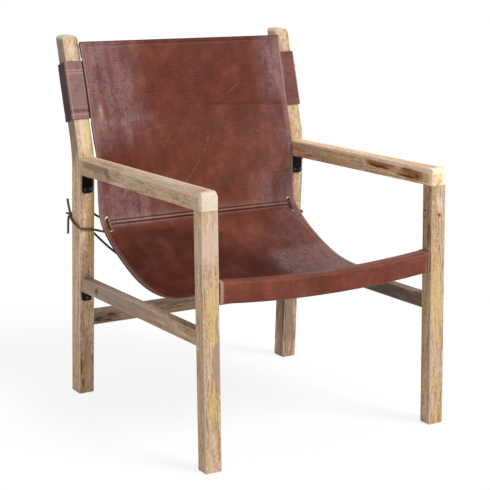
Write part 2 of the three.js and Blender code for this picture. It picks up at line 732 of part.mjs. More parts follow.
// The sleeve: round the rail from its top rear corner to the lap sewn under the seat
function sleeveStations(curve) {
  const outer = SLING_LEATHER + SLEEVE_ROOM;
  const radius = FRONT_RAIL_EDGE + outer;
  const front = frontRailFace() - outer;
  const rear = frontRailFace() + FRONT_RAIL_DEPTH + outer;
  const top = FRONT_RAIL_TOP + outer;
  const bottom = FRONT_RAIL_TOP - FRONT_RAIL_HEIGHT - outer;
  const centres = [
    [rear - radius, top - radius, Math.PI / 4],
    [front + radius, top - radius, Math.PI / 2],
    [front + radius, bottom + radius, Math.PI],
    [rear - radius, bottom + radius, (3 * Math.PI) / 2],
  ];
  const sweeps = [Math.PI / 4, Math.PI / 2, Math.PI / 2, Math.PI / 4];
  const steps = [2, 3, 3, 2];
  const stations = [];
  centres.forEach(([across, up, start], corner) => {
    for (let step = 0; step <= steps[corner]; step += 1) {
      const angle = start + (sweeps[corner] * step) / steps[corner];
      const normal = new THREE.Vector2(Math.cos(angle), Math.sin(angle));
      stations.push({
        point: new THREE.Vector2(across, up).addScaledVector(normal, radius),
        normal,
        drop: FRONT_RAIL_DISH,
        hollow: 0,
        raise: 0,
      });
    }
  });
  return [...stations, ...lapStations(curve)];
}

function lapStations(curve) {
  const length = curve.getLength();
  const stations = [];
  const steps = 3;
  for (let step = 0; step <= steps; step += 1) {
    const back = LAP_START_BACK + (SLEEVE_LAP * step) / steps;
    const at = 1 - back / length;
    const tangent = curve.getTangentAt(at);
    const seatNormal = new THREE.Vector2(tangent.y, -tangent.x);
    const depth = 2 * SLING_LEATHER + JOINT_GAP;
    stations.push({
      point: curve.getPointAt(at).addScaledVector(seatNormal, -depth),
      normal: seatNormal.clone().negate(),
      drop: FRONT_RAIL_DISH,
      hollow: 0,
      raise: 0,
    });
  }
  return stations;
}

// Shares of the half width where the sheet has its columns, and whether the tuck is raised there
const columnShares = [-1, -0.95, -0.9, -0.6, -0.3, 0, 0.3, 0.6, 0.9, 0.95, 1];
const TUCK_END_SHARE = 0.92;

function slingGeometry() {
  const { stations, curve } = slingStations();
  const all = [...stations, ...sleeveStations(curve)];
  const half = SLING_HALF_WIDTH;
  const positions = [];
  const columns = columnShares.length;
  for (const layer of [0, SLING_LEATHER]) {
    for (const station of all) {
      for (const share of columnShares) {
        const x = share * half;
        const raised = Math.abs(share) < TUCK_END_SHARE ? station.raise : 0;
        const out = layer === 0 ? raised : -layer;
        const betweenLoops = Math.max(0, 1 - (x / (INNER_FACE - LOOP_LAP)) ** 2);
        positions.push(
          x,
          station.point.x + station.normal.x * out + station.hollow * betweenLoops,
          station.point.y + station.normal.y * out - station.drop * dish(x),
        );
      }
    }
  }
  const index = [];
  const layerSize = all.length * columns;
  const quad = (a, b, c, d) => index.push(a, b, c, a, c, d);
  for (let row = 0; row < all.length - 1; row += 1) {
    for (let column = 0; column < columns - 1; column += 1) {
      const a = row * columns + column;
      quad(a, a + columns, a + columns + 1, a + 1);
      quad(a + layerSize, a + layerSize + 1, a + layerSize + columns + 1, a + layerSize + columns);
    }
    const left = row * columns;
    quad(left, left + layerSize, left + layerSize + columns, left + columns);
    const right = left + columns - 1;
    quad(right, right + columns, right + columns + layerSize, right + layerSize);
  }
  for (let column = 0; column < columns - 1; column += 1) {
    quad(column, column + 1, column + 1 + layerSize, column + layerSize);
    const end = (all.length - 1) * columns + column;
    quad(end, end + layerSize, end + layerSize + 1, end + 1);
  }
  const geometry = new THREE.BufferGeometry();
  geometry.setAttribute('position', new THREE.Float32BufferAttribute(positions, 3));
  geometry.setIndex(index);
  return geometry;
}

// Eyelets: their frames on the sling, the rings, and the room that each ring takes in the leather

function eyeletFrames() {
  const { curve, tuckAt, length } = slingStations();
  const frames = [];
  for (const side of [-1, 1]) {
    const hand = side < 0 ? 'left' : 'right';
    const distances = { upper: -EYELET_ABOVE_TUCK, lower: EYELET_BELOW_TUCK };
    for (const [place, distance] of Object.entries(distances)) {
      const at = tuckAt + distance / length;
      const point = curve.getPointAt(at);
      const tangent = curve.getTangentAt(at);
      const normal = new THREE.Vector3(0, tangent.y, -tangent.x);
      const middle = new THREE.Vector3(side * (SLING_HALF_WIDTH - EYELET_EDGE_DISTANCE), point.x, point.y)
        .addScaledVector(normal, -SLING_LEATHER / 2);
      frames.push({ name: `eyelet_${hand}_${place}`, middle, normal });
    }
  }
  return frames;
}

function eyeletRing(grow) {
  const half = SLING_LEATHER / 2 + EYELET_CLEARANCE - grow;
  const out = half + EYELET_FLANGE + 2 * grow;
  const hole = EYELET_HOLE_RADIUS;
  const profile = [
    [hole, -out],
    [EYELET_BACK_RADIUS + grow, -out],
    [EYELET_BACK_RADIUS + grow, -half],
    [hole + EYELET_WALL + grow, -half],
    [hole + EYELET_WALL + grow, half],
    [EYELET_FLANGE_RADIUS + grow, half],
    [EYELET_FLANGE_RADIUS + grow, out],
    [hole, out],
    [hole, -out],
  ].map(([radius, along]) => new THREE.Vector2(radius, along));
  return new THREE.LatheGeometry(profile, ROUND_SEGMENTS);
}

// The cut for an eyelet: the grown ring, and the hole through its middle
function eyeletCut(frame) {
  const tall = 2 * (SLING_LEATHER + EYELET_FLANGE);
  const radius = EYELET_HOLE_RADIUS + EYELET_WALL;
  const hole = new THREE.CylinderGeometry(radius, radius, tall, ROUND_SEGMENTS);
  const solid = toSolid(eyeletRing(EYELET_CLEARANCE)).add(toSolid(hole));
  const geometry = toGeometry(solid);
  const turn = new THREE.Quaternion().setFromUnitVectors(new THREE.Vector3(0, 1, 0), frame.normal);
  geometry.applyQuaternion(turn);
  return geometry.translate(frame.middle.x, frame.middle.y, frame.middle.z);
}

function sling() {
  addPiece('sling', cutAll(slingGeometry(), eyeletFrames().map(eyeletCut)), 'leather');
}

function eyelets() {
  for (const frame of eyeletFrames()) {
    addPiece(frame.name, eyeletRing(0), 'nickel', { position: frame.middle, direction: frame.normal });
  }
}

// Post loops: a strip bent round the raked post, with both ends lapped behind the sling's edge

function postLoop(side, hand) {
  const near = -JOINT_GAP;
  const far = loopRoom - JOINT_GAP;
  const outside = POST_WIDTH / 2 + JOINT_GAP;
  const lapEnd = -POST_WIDTH / 2 - LOOP_LAP;
  const leather = LOOP_LEATHER;
  const inner = -outside;
  const corner = LOOP_CORNER_RADIUS;
  const secondLap = near + JOINT_GAP;
  const outline = roundedOutline([
    [lapEnd, near - leather, 0],
    [outside + leather, near - leather, corner],
    [outside + leather, far + leather, corner],
    [inner - leather, far + leather, corner],
    [inner - leather, secondLap + leather, corner / 2],
    [lapEnd, secondLap + leather, 0],
    [lapEnd, secondLap, 0],
    [inner, secondLap, 0],
    [inner, far, corner - leather],
    [outside, far, corner - leather],
    [outside, near, corner - leather],
    [lapEnd, near, 0],
  ], CORNER_SEGMENTS / 2);
  const flipped = side < 0 ? outline.map((p) => new THREE.Vector2(-p.x, p.y)).reverse() : outline;
  const geometry = new THREE.ExtrudeGeometry(new THREE.Shape(flipped), {
    depth: LOOP_LENGTH,
    bevelEnabled: false,
  });
  geometry.rotateX(loopTilt);
  geometry.translate(side * POST_CENTRE, loopFoot.y, loopFoot.z);
  const name = `post_loop_${hand}`;
  addPiece(name, cutAll(geometry, screwBores(name)), 'leather');
}

// Laces: one long lace ties the sling's tuck to both rear posts. On each side it goes from a knot
// across the post's outer and front faces, out through the lower eyelet, over the leather, in
// through the upper eyelet and back round the post. A slack run joins the two knots.
// Routes are points chosen along the real lace, in the place that the frame is drawn in, for a
// frame of the laced half width. In a wider or narrower frame they keep beside the posts.

const LACED_HALF_WIDTH = 320;
const laceShift = HALF_WIDTH - LACED_HALF_WIDTH;
const spanShare = HALF_WIDTH / LACED_HALF_WIDTH;

function besidePost([x, y, z]) {
  return [x + Math.sign(x) * laceShift, y, z];
}

function betweenPosts([x, y, z]) {
  return [x * spanShare, y, z];
}

const knotCentres = {
  left: [-320.2, 56, 448],
  right: [320.2, 57.1, 423],
};

const wrapRoutes = {
  left: [
    [-321.4, 51.7, 442.8], [-322.5, 50.3, 441.6], [-323.3, 48.4, 440], [-323.4, 44.5, 437],
    [-323.3, 34, 431.5], [-323.3, 22, 427.6], [-323.3, 11, 425.2], [-322.7, 5.8, 424],
    [-320.2, 4.1, 422.6], [-316, 3.7, 421.2], [-306, 3.6, 418.6], [-294, 3.5, 416.4],
    [-285, 3.2, 414.8], [-279, 0.3, 413.8], [-273, -10, 412.8], [-266, -23, 412.4],
    [-261.5, -31.2, 412.6], [-260, -35.4, 415], [-260, -39, 419.1], [-260, -40.9, 421.3],
    [-260, -42.1, 423.3], [-260, -42, 425.1], [-260, -40.8, 426.8], [-260, -37.5, 429.6],
    [-260, -32.6, 435.2], [-260, -29, 439.9], [-260, -27.5, 442.4], [-260, -26.2, 444],
    [-260, -24.4, 444.6], [-260, -22.2, 443.9], [-260, -19.6, 442.6], [-260, -17, 441.3],
    [-260.6, -14.4, 440.5], [-264.5, -8, 441.6], [-271, 1, 445.4], [-275.7, 12, 449.2],
    [-276.6, 22, 451.4], [-276.6, 40, 452.5], [-276.9, 49.2, 452.5], [-279.1, 52.9, 452.2],
    [-284, 53.7, 451.6], [-298, 53.8, 449.6], [-308, 54.3, 448.5], [-313.9, 55.4, 448],
  ],
  right: [
    [321.4, 52.8, 417.8], [322.5, 51.4, 416.6], [323.3, 49.5, 415], [323.4, 45.6, 412],
    [323.3, 35, 406.5], [323.3, 23, 402.6], [323.3, 12.1, 400.2], [322.7, 6.9, 399.2],
    [320.2, 5.2, 398.6], [316, 4.7, 398.3], [306, 4.5, 398.8], [294, 4.3, 400.4],
    [285, 3.9, 402.4], [279, 0.9, 404], [273, -10, 407.2], [266, -23, 410.4],
    [261.5, -31.2, 412.4], [260, -35.4, 415], [260, -39, 419.1], [260, -40.9, 421.3],
    [260, -42.1, 423.3], [260, -42, 425.1], [260, -40.8, 426.8], [260, -37.5, 429.6],
    [260, -32.6, 435.2], [260, -29, 439.9], [260, -27.5, 442.4], [260, -26.2, 444],
    [260, -24.4, 444.6], [260, -22.2, 443.9], [260, -19.6, 442.6], [260, -17, 441.3],
    [260.6, -14.4, 440.1], [264.5, -8, 438.8], [271, 1, 436.6], [275.7, 12, 433.2],
    [276.6, 22, 430.2], [276.6, 40, 426.6], [276.9, 50.3, 424.8], [279.1, 54, 424.2],
    [284, 54.8, 423.8], [298, 54.9, 423.3], [308, 55.4, 423.1], [313.9, 56.5, 423],
  ],
};

// The slack run hangs from the left knot to the right knot, behind both posts
const crossRoute = [
  [-316.5, 57.5, 443.6], [-311.4, 57.4, 438.6], [-304, 56.6, 433], [-293, 55.4, 426.6],
  [-281, 55, 418.4], [-262, 54.8, 397.3], [-240, 54.6, 374.6], [-215, 54.6, 350.7],
  [-185, 54.6, 326.2], [-150, 54.6, 301.7], [-110, 54.6, 279.4], [-70, 54.6, 263.4],
  [-30, 54.6, 253.8], [11, 54.6, 250.4], [52, 54.6, 253.8], [92, 54.6, 263.4],
  [132, 54.6, 279.2], [172, 54.6, 301.4], [207, 54.7, 326], [237, 54.9, 351],
  [262, 55.2, 374.4], [281, 55.4, 393.9], [293, 55.8, 404], [304, 57.2, 410],
  [311.4, 58.2, 414.6], [316.5, 58.6, 418.7],
];

const tailRoutes = {
  left_upper: [[-320.5, 58.8, 453.2], [-321, 61.5, 460], [-321.3, 64, 467.5], [-321.5, 66.5, 475.5],
    [-321.6, 69, 483.5]],
  left_middle: [[-321.8, 61.8, 447.4], [-322.4, 64.6, 447.8], [-323, 67.4, 448.1], [-323.5, 70.2, 448]],
  left_lower: [[-322.9, 58.7, 443.5], [-323.9, 60, 438], [-324, 61.8, 430], [-323.4, 64.2, 420],
    [-322.4, 66.8, 409], [-321.8, 69.4, 397.5]],
  right_upper: [[320.5, 59.9, 428.2], [321, 62.8, 435], [321.3, 65.6, 442.5], [321.5, 68.6, 450.5],
    [321.6, 71.6, 458.5]],
  right_lower: [[322.9, 59.8, 418.5], [323.9, 61.3, 413], [324, 63.4, 405], [323.4, 66.2, 395],
    [322.4, 69.2, 384], [321.8, 72.2, 372.5]],
};

function laceTube(points, steps) {
  const places = points.map(([x, y, z]) => new THREE.Vector3(x, y, z));
  const section = new THREE.Shape();
  section.absarc(0, 0, LACE_DIAMETER / 2, 0, 2 * Math.PI, false);
  return new THREE.ExtrudeGeometry(section, {
    steps,
    bevelEnabled: false,
    extrudePath: new THREE.CatmullRomCurve3(places, false, 'centripetal'),
    curveSegments: LACE_SIDES / 2,
  });
}

function laces() {
  for (const [hand, centre] of Object.entries(knotCentres)) {
    addPiece(`lace_wrap_${hand}`, laceTube(wrapRoutes[hand].map(besidePost), WRAP_STEPS), 'lace');
    const knot = new THREE.SphereGeometry(KNOT_RADIUS, ROUND_SEGMENTS, LACE_SIDES);
    addPiece(`lace_knot_${hand}`, knot, 'lace', { position: new THREE.Vector3(...besidePost(centre)) });
  }
  addPiece('lace_cross', laceTube(crossRoute.map(betweenPosts), CROSS_STEPS), 'lace');
  for (const [place, route] of Object.entries(tailRoutes)) {
    addPiece(`lace_tail_${place}`, laceTube(route.map(besidePost), TAIL_STEPS), 'lace');
  }
}

for (const [side, hand] of [[-1, 'left'], [1, 'right']]) {
  rearPost(side, hand);
  frontPost(side, hand);
  arm(side, hand);
  sideRail(side, hand);
  bracket('arm', side, hand);
  bracket('rail', side, hand);
}
rearCrossRail();
frontRail();
addDowels();
addScrews();
sling();
for (const [side, hand] of [[-1, 'left'], [1, 'right']]) {
  postLoop(side, hand);
}
eyelets();
laces();

export default chair;
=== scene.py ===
from bisect import bisect_right
from math import atan2, ceil, cos, exp, hypot, pi, radians, sin, sqrt

import bmesh
import bpy
from mathutils import Euler, Matrix, Vector, noise


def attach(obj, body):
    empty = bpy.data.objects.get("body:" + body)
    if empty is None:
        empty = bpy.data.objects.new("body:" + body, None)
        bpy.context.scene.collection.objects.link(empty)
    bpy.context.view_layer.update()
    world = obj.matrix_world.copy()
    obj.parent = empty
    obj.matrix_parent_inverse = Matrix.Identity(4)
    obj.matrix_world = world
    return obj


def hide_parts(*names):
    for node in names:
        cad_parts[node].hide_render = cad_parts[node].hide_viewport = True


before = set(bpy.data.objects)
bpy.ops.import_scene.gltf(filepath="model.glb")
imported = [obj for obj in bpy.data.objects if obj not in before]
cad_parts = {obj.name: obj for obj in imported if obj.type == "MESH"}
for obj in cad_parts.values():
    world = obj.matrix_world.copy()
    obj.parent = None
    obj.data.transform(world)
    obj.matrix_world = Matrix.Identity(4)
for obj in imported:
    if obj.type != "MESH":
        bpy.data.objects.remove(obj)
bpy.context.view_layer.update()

# Camera
# It stands before the chair's left front corner, a little higher than the chair's back, and
# looks slightly down. The lens is long, as in a product photograph.
MIDDLE_Y = 0.235348
CAMERA_PLACE = Vector((-1.72935, -2.99736 + MIDDLE_Y, 1.11883))
CAMERA_YAW = -31.978
CAMERA_PITCH = 12.584
CAMERA_ROLL = 0.418
FOCAL_LENGTH = 103.53
SENSOR_WIDTH = 36


def add_object(name, data):
    """An object at the origin, in the scene."""
    made = bpy.data.objects.new(name, data)
    bpy.context.scene.collection.objects.link(made)
    return made


camera_data = bpy.data.cameras.new("photo_camera")
camera_data.sensor_width = SENSOR_WIDTH
camera_data.lens = FOCAL_LENGTH
camera = add_object("photo_camera", camera_data)
aim = Euler((radians(90 - CAMERA_PITCH), 0, radians(CAMERA_YAW))).to_matrix().to_4x4()
camera.matrix_world = Matrix.Translation(CAMERA_PLACE) @ aim @ Matrix.Rotation(radians(CAMERA_ROLL), 4, "Z")
bpy.context.scene.camera = camera

# Lace
# One long round leather lace, cut from dark vegetable tanned hide, ties the sling's tuck to both
# rear posts. Its slack run and its free ends hang, and the stretches round the posts are held.
MM = 0.001
SIDES = ((-1, "left"), (1, "right"))
LACE_DIAMETER = 5.6 * MM
KNOT_DIAMETER_SHARE = 0.86


def hex_colour(code, share=1):
    """The linear colour of an sRGB hex value, made darker by a share, with alpha 1."""
    channels = [int(code[place:place + 2], 16) / 255 for place in (1, 3, 5)]
    linear = [c / 12.92 if c <= 0.04045 else ((c + 0.055) / 1.055) ** 2.4 for c in channels]
    return (*(c * share for c in linear), 1)


# Nodes by short names: the kind, its fixed settings, the sockets that items fill in order, and the
# output that is read
NODES = {
    "place": ("TexCoord", {}, (), "Object"),
    "axes": ("SeparateXYZ", {}, ("Vector",), 0),
    "noise": ("TexNoise", {"Scale": 1}, ("Vector", "Scale", "Detail", "Distortion"), 0),
    "ramp": ("ValToRGB", {}, ("Fac",), 0),
    "maths": ("Math", {}, ("operation", 0, 1), 0),
    "step": ("MapRange", {"interpolation_type": "SMOOTHSTEP"}, ("Value", 1, 2), 0),
    "mix": ("Mix", {"data_type": "RGBA"}, ("blend_type", 0, 6, 7), 2),
    "bump": ("Bump", {}, ("Height", "Strength", "Distance"), 0),
}


class Shading:
    """The nodes of a material or a world."""

    def __init__(self, owner, shader="Principled BSDF"):
        owner.use_nodes = True
        self.owner = owner
        self.shader = owner.node_tree.nodes[shader]

    def feed(self, node, settings):
        """Sets properties and sockets. A socket takes a number, a hex colour or another output."""
        for key, item in settings.items():
            if isinstance(key, str) and hasattr(node, key):
                setattr(node, key, item)
            elif isinstance(item, bpy.types.NodeSocket):
                self.owner.node_tree.links.new(item, node.inputs[key])
            else:
                node.inputs[key].default_value = hex_colour(item) if isinstance(item, str) else item

    def add(self, name, *items, out=None, **more):
        """Adds a node with its settings and links. A ramp's stops, each a place and a colour, come last."""
        kind, fixed, sockets, output = NODES[name]
        node = self.owner.node_tree.nodes.new("ShaderNode" + kind)
        self.feed(node, {**fixed, **dict(zip(sockets, items)), **more})
        stops = items[len(sockets):]
        if stops:
            elements = node.color_ramp.elements
            while len(elements) < len(stops):
                elements.new(0.5)
            for element, (place, code) in zip(elements, stops):
                element.position = place
                element.color = hex_colour(code)
        return node.outputs[output if out is None else out]

    def done(self, sockets):
        """Fills the shader's sockets and gives back the finished material."""
        self.feed(self.shader, sockets)
        return self.owner

    def layer(self, kind, colour, cover, most, code):
        """Lays a flat colour over another where the cover shows, in part."""
        return self.add("mix", kind, self.add("maths", "MULTIPLY", cover, most), colour, code)


def new_material(name):
    return Shading(bpy.data.materials.new(name))


def lace_leather():
    """Dark leather cord: deep brown and matt, with the stretch in front of the sling painted lighter as painted light,
    and the stretch behind it painted darker as painted shade.
    """
    paint = new_material("oiled_dark_leather_lace")
    place = paint.add("place")
    colour = paint.add("ramp", paint.add("noise", place, 260, 3), (0.3, "#2C1B15"), (0.5, "#4C3328"), (0.7, "#7A5848"))
    across, depth = [paint.add("axes", place, out=axis) for axis in "XY"]
    inside = paint.add("step", paint.add("maths", "ABSOLUTE", across), 0.286, 0.281)
    # Painted shade: the stretch behind the sling, between the posts, is made darker.
    painted_shade_behind = paint.add("maths", "MULTIPLY", inside, paint.add("step", depth, MIDDLE_Y - 0.010, MIDDLE_Y - 0.004))
    colour = paint.add("mix", "MULTIPLY", painted_shade_behind, colour, "#555050")
    # Painted light: the stretch in front of the sling is made lighter brown.
    colour = paint.layer("MIX", colour, paint.add("step", depth, MIDDLE_Y - 0.018, MIDDLE_Y - 0.026), 0.7, "#85594A")
    bump = paint.add("bump", paint.add("noise", place, 900, 2), 0.35, 0.3 * MM)
    return paint.done({"Base Color": colour, "Normal": bump, "Roughness": 0.55, "IOR": 1.48})


LACE_LEATHER = lace_leather()


def lace_points(points):
    """Route points given in millimetres from the rear posts' bend, in the row frame's metres."""
    return [Vector((x * MM, y * MM + MIDDLE_Y, z * MM)) for x, y, z in points]


def lay_lace(name, points, diameter=LACE_DIAMETER):
    """One stretch of lace as a round curve along its route."""
    curve = bpy.data.curves.new(name, "CURVE")
    curve.dimensions = "3D"
    curve.bevel_depth = diameter / 2
    curve.bevel_resolution = 5
    curve.resolution_u = 10
    curve.use_fill_caps = True
    route = curve.splines.new("BEZIER")
    route.bezier_points.add(len(points) - 1)
    for knot, place in zip(route.bezier_points, points):
        knot.co = place
        knot.handle_left_type = knot.handle_right_type = "AUTO"
    curve.materials.append(LACE_LEATHER)
    return add_object(name, curve)


def finish_piece(piece, slot, *nodes):
    """The piece rides with the chair and stands for its CAD nodes, which are hidden; the slot is not used."""
    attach(piece, "root")
    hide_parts(*nodes)


CROSS_ROUTE = [
    (-316.5, 57.5, 443.6), (-311.4, 57.4, 438.6), (-304, 56.6, 433), (-293, 55.4, 426.6), (-281, 55, 418.4),
    (-262, 54.8, 397.3), (-240, 54.6, 374.6), (-215, 54.6, 350.7), (-185, 54.6, 326.2), (-150, 54.6, 301.7),
    (-110, 54.6, 279.4), (-70, 54.6, 263.4), (-30, 54.6, 253.8), (11, 54.6, 250.4), (52, 54.6, 253.8),
    (92, 54.6, 263.4), (132, 54.6, 279.2), (172, 54.6, 301.4), (207, 54.7, 326), (237, 54.9, 351),
    (262, 55.2, 374.4), (281, 55.4, 393.9), (293, 55.8, 404), (304, 57.2, 410), (311.4, 58.2, 414.6),
    (316.5, 58.6, 418.7),
]
cross = lay_lace("slack_lace", lace_points(CROSS_ROUTE))
finish_piece(cross, "lace_leather", "lace_cross")

TAIL_ROUTES = {
    "left_upper": [(-320.5, 58.8, 453.2), (-321, 61.5, 460), (-321.3, 64, 467.5), (-321.5, 66.5, 475.5),
                   (-321.6, 69, 483.5)],
    "left_middle": [(-321.8, 61.8, 447.4), (-322.4, 64.6, 447.8), (-323, 67.4, 448.1), (-323.5, 70.2, 448)],
    "left_lower": [(-322.9, 58.7, 443.5), (-323.9, 60, 438), (-324, 61.8, 430), (-323.4, 64.2, 420),
                   (-322.4, 66.8, 409), (-321.8, 69.4, 397.5)],
    "right_upper": [(320.5, 59.9, 428.2), (321, 62.8, 435), (321.3, 65.6, 442.5), (321.5, 68.6, 450.5),
                    (321.6, 71.6, 458.5)],
    "right_lower": [(322.9, 59.8, 418.5), (323.9, 61.3, 413), (324, 63.4, 405), (323.4, 66.2, 395),
                    (322.4, 69.2, 384), (321.8, 72.2, 372.5)],
}
for place, route in TAIL_ROUTES.items():
    tail = lay_lace(f"lace_end_{place}", lace_points(route))
    finish_piece(tail, "lace_leather", f"lace_tail_{place}")

# Each wrap runs from its knot round the post, through both eyelets, and back round to the knot. The
# stretch through the eyelets is alike on both sides.
EYELET_STRETCH = [(-35.4, 415), (-39, 419.1), (-40.9, 421.3), (-42.1, 423.3), (-42, 425.1), (-40.8, 426.8),
                  (-37.5, 429.6), (-32.6, 435.2), (-29, 439.9), (-27.5, 442.4), (-26.2, 444), (-24.4, 444.6),
                  (-22.2, 443.9), (-19.6, 442.6), (-17, 441.3)]
WRAP_ENDS = {
    "left": ([(-321.4, 51.7, 442.8), (-322.5, 50.3, 441.6), (-323.3, 48.4, 440), (-323.4, 44.5, 437),
              (-323.3, 34, 431.5), (-323.3, 22, 427.6), (-323.3, 11, 425.2), (-322.7, 5.8, 424),
              (-320.2, 4.1, 422.6), (-316, 3.7, 421.2), (-306, 3.6, 418.6), (-294, 3.5, 416.4),
              (-285, 3.2, 414.8), (-279, 0.3, 413.8), (-273, -10, 412.8), (-266, -23, 412.4),
              (-261.5, -31.2, 412.6)],
             [(-260.6, -14.4, 440.5), (-264.5, -8, 441.6), (-271, 1, 445.4), (-275.7, 12, 449.2),
              (-276.6, 22, 451.4), (-276.6, 40, 452.5), (-276.9, 49.2, 452.5), (-279.1, 52.9, 452.2),
              (-284, 53.7, 451.6), (-298, 53.8, 449.6), (-308, 54.3, 448.5), (-313.9, 55.4, 448)]),
    "right": ([(321.4, 52.8, 417.8), (322.5, 51.4, 416.6), (323.3, 49.5, 415), (323.4, 45.6, 412),
               (323.3, 35, 406.5), (323.3, 23, 402.6), (323.3, 12.1, 400.2), (322.7, 6.9, 399.2),
               (320.2, 5.2, 398.6), (316, 4.7, 398.3), (306, 4.5, 398.8), (294, 4.3, 400.4),
               (285, 3.9, 402.4), (279, 0.9, 404), (273, -10, 407.2), (266, -23, 410.4),
               (261.5, -31.2, 412.4)],
              [(260.6, -14.4, 440.1), (264.5, -8, 438.8), (271, 1, 436.6), (275.7, 12, 433.2),
               (276.6, 22, 430.2), (276.6, 40, 426.6), (276.9, 50.3, 424.8), (279.1, 54, 424.2),
               (284, 54.8, 423.8), (298, 54.9, 423.3), (308, 55.4, 423.1), (313.9, 56.5, 423)]),
}
for side, hand in SIDES:
    start, end = WRAP_ENDS[hand]
    route = start + [(side * 260, y, z) for y, z in EYELET_STRETCH] + end
    finish_piece(lay_lace(f"lace_round_post_{hand}", lace_points(route)), "lace_leather", f"lace_wrap_{hand}")

# Knots
# Each is a small overhand knot of the same lace, pulled tight on the post's outer rear edge.
KNOT_LOOP = 1.6 * MM
KNOT_STEPS = 48
KNOT_CENTRES = {"left": (-320.2, 56, 448), "right": (320.2, 57.1, 423)}
for hand, centre in KNOT_CENTRES.items():
    middle = lace_points([centre])[0]
    turns = [2 * pi * step / KNOT_STEPS for step in range(KNOT_STEPS)]
    course = [middle + KNOT_LOOP * Vector((-sin(3 * t), sin(t) + 2 * sin(2 * t), cos(t) - 2 * cos(2 * t)))
              for t in turns]
    knot = lay_lace(f"lace_knot_tied_{hand}", course, LACE_DIAMETER * KNOT_DIAMETER_SHARE)
    knot.data.splines[0].use_cyclic_u = True
    knot.data.resolution_u = 3
    finish_piece(knot, "lace_leather", f"lace_knot_{hand}")

# Rear posts
# Two posts of mango wood, sawn from one plank to their bent outline, raked back above the arms
# and sanded round at the top corners and along every edge. They carry the arms and the sling.
HALF_WIDTH = 0.320
POST_WIDTH = 0.040
POST_CENTRE = HALF_WIDTH - POST_WIDTH / 2
REAR_POST_DEPTH = 0.044
RAKED_DEPTH = 0.041
BACK_HEIGHT = 0.872
BEND_HEIGHT = 0.590
FRONT_BEND_RADIUS = 0.160
REAR_BEND_RADIUS = 0.220
TOP_CORNER_RADIUS = 0.010
EDGE_RADIUS = 0.003
REAR_FOOT_SETBACK = 0.025
BACK_TOP_SETBACK = 0.083
LEAN = REAR_FOOT_SETBACK / BEND_HEIGHT
RAKE = BACK_TOP_SETBACK / (BACK_HEIGHT - BEND_HEIGHT)
REAR_BEND_RISE = (REAR_POST_DEPTH - RAKED_DEPTH) / (LEAN + RAKE)


def bent_line(height, bend_y, bend_height, radius):
    """Depth of a post's face at a height: two straight stretches joined by an arc."""
    lean, rake = atan2(LEAN, 1), atan2(RAKE, 1)
    tangent = radius * sin((lean + rake) / 2) / cos((lean + rake) / 2)
    below = height - bend_height
    if below < -tangent * cos(lean):
        return bend_y - LEAN * below
    if below > tangent * cos(rake):
        return bend_y + RAKE * below
    arc_y = bend_y + tangent * sin(lean) + radius * cos(lean)
    arc_height = bend_height - tangent * cos(lean) + radius * sin(lean)
    return arc_y - sqrt(radius ** 2 - (height - arc_height) ** 2)


def post_face(height):
    return bent_line(height, 0, BEND_HEIGHT, FRONT_BEND_RADIUS)


def post_back(height):
    bend = BEND_HEIGHT + REAR_BEND_RISE
    return bent_line(height, REAR_POST_DEPTH - LEAN * REAR_BEND_RISE, bend, REAR_BEND_RADIUS)


def add_block(name, x, width, depths, heights):
    """A squared block about a place across, between two depths and two heights, left in edit mode."""
    bpy.ops.object.select_all(action="DESELECT")
    bpy.ops.mesh.primitive_cube_add(size=1)
    bpy.context.object.name = name
    bpy.ops.object.mode_set(mode="EDIT")
    bpy.ops.transform.resize(value=(width, depths[1] - depths[0], heights[1] - heights[0]))
    move((x, sum(depths) / 2, sum(heights) / 2))
    return bpy.context.object


def move(step):
    bpy.ops.transform.translate(value=step)


def extrude(step):
    bpy.ops.mesh.extrude_region_move(TRANSFORM_OT_translate={"value": step})


def bevel(radius, segments):
    bpy.ops.mesh.bevel(offset=radius, segments=segments, affect="EDGES")


def pick(block, kind, test, sharpness=0):
    """Selects, in edit mode, the EDGE or FACE items that pass a test of their middle and their way.

    A face's way is its normal. An edge's way is its direction, with no sign.
    """
    bpy.ops.mesh.select_mode(type=kind)
    bpy.ops.mesh.select_all(action="DESELECT")
    shape = bmesh.from_edit_mesh(block.data)
    for item in shape.edges if kind == "EDGE" else shape.faces:
        if kind == "EDGE":
            a, b = item.verts[0].co, item.verts[1].co
            way, at = Vector([abs(part) for part in (b - a).normalized()]), (a + b) / 2
            if sharpness and item.calc_face_angle(0) <= radians(sharpness):
                continue
        else:
            way, at = item.normal, item.calc_center_median()
        if test(at, way):
            item.select_set(True)
    bmesh.update_edit_mesh(block.data)


def round_edges(radius):
    """Rounds, in edit mode, every edge that is still sharp."""
    bpy.ops.mesh.select_mode(type="EDGE")
    bpy.ops.mesh.select_all(action="DESELECT")
    bpy.ops.mesh.edges_select_sharp(sharpness=radians(50))
    bevel(radius, 3)


def activate(piece):
    bpy.ops.object.select_all(action="DESELECT")
    piece.select_set(True)
    bpy.context.view_layer.objects.active = piece


def apply_modifier(piece, kind, **settings):
    """Adds a modifier to a piece, sets it and applies it."""
    activate(piece)
    bpy.ops.object.modifier_add(type=kind)
    for name, value in settings.items():
        setattr(piece.modifiers[-1], name, value)
    bpy.ops.object.modifier_apply(modifier=piece.modifiers[-1].name)


def smooth_finish(block):
    """Leaves edit mode, marks the sanded edges, and smooths the shading with flat faces kept flat.

    A face more than 3.5 mm across is flat wood, and the narrow faces of a bevel are edge.
    """
    bpy.ops.object.mode_set(mode="OBJECT")
    mesh = block.data
    marks = [1.0] * len(mesh.vertices)
    for face in mesh.polygons:
        longest = max((mesh.vertices[a].co - mesh.vertices[b].co).length for a, b in face.edge_keys)
        if face.area / longest > 3.5 * MM:
            for corner in face.vertices:
                marks[corner] = 0.0
    mesh.attributes.new("edge", "FLOAT", "POINT").data.foreach_set("value", marks)
    bpy.ops.object.shade_smooth_by_angle(angle=radians(40))
    apply_modifier(block, "WEIGHTED_NORMAL", keep_sharp=True)


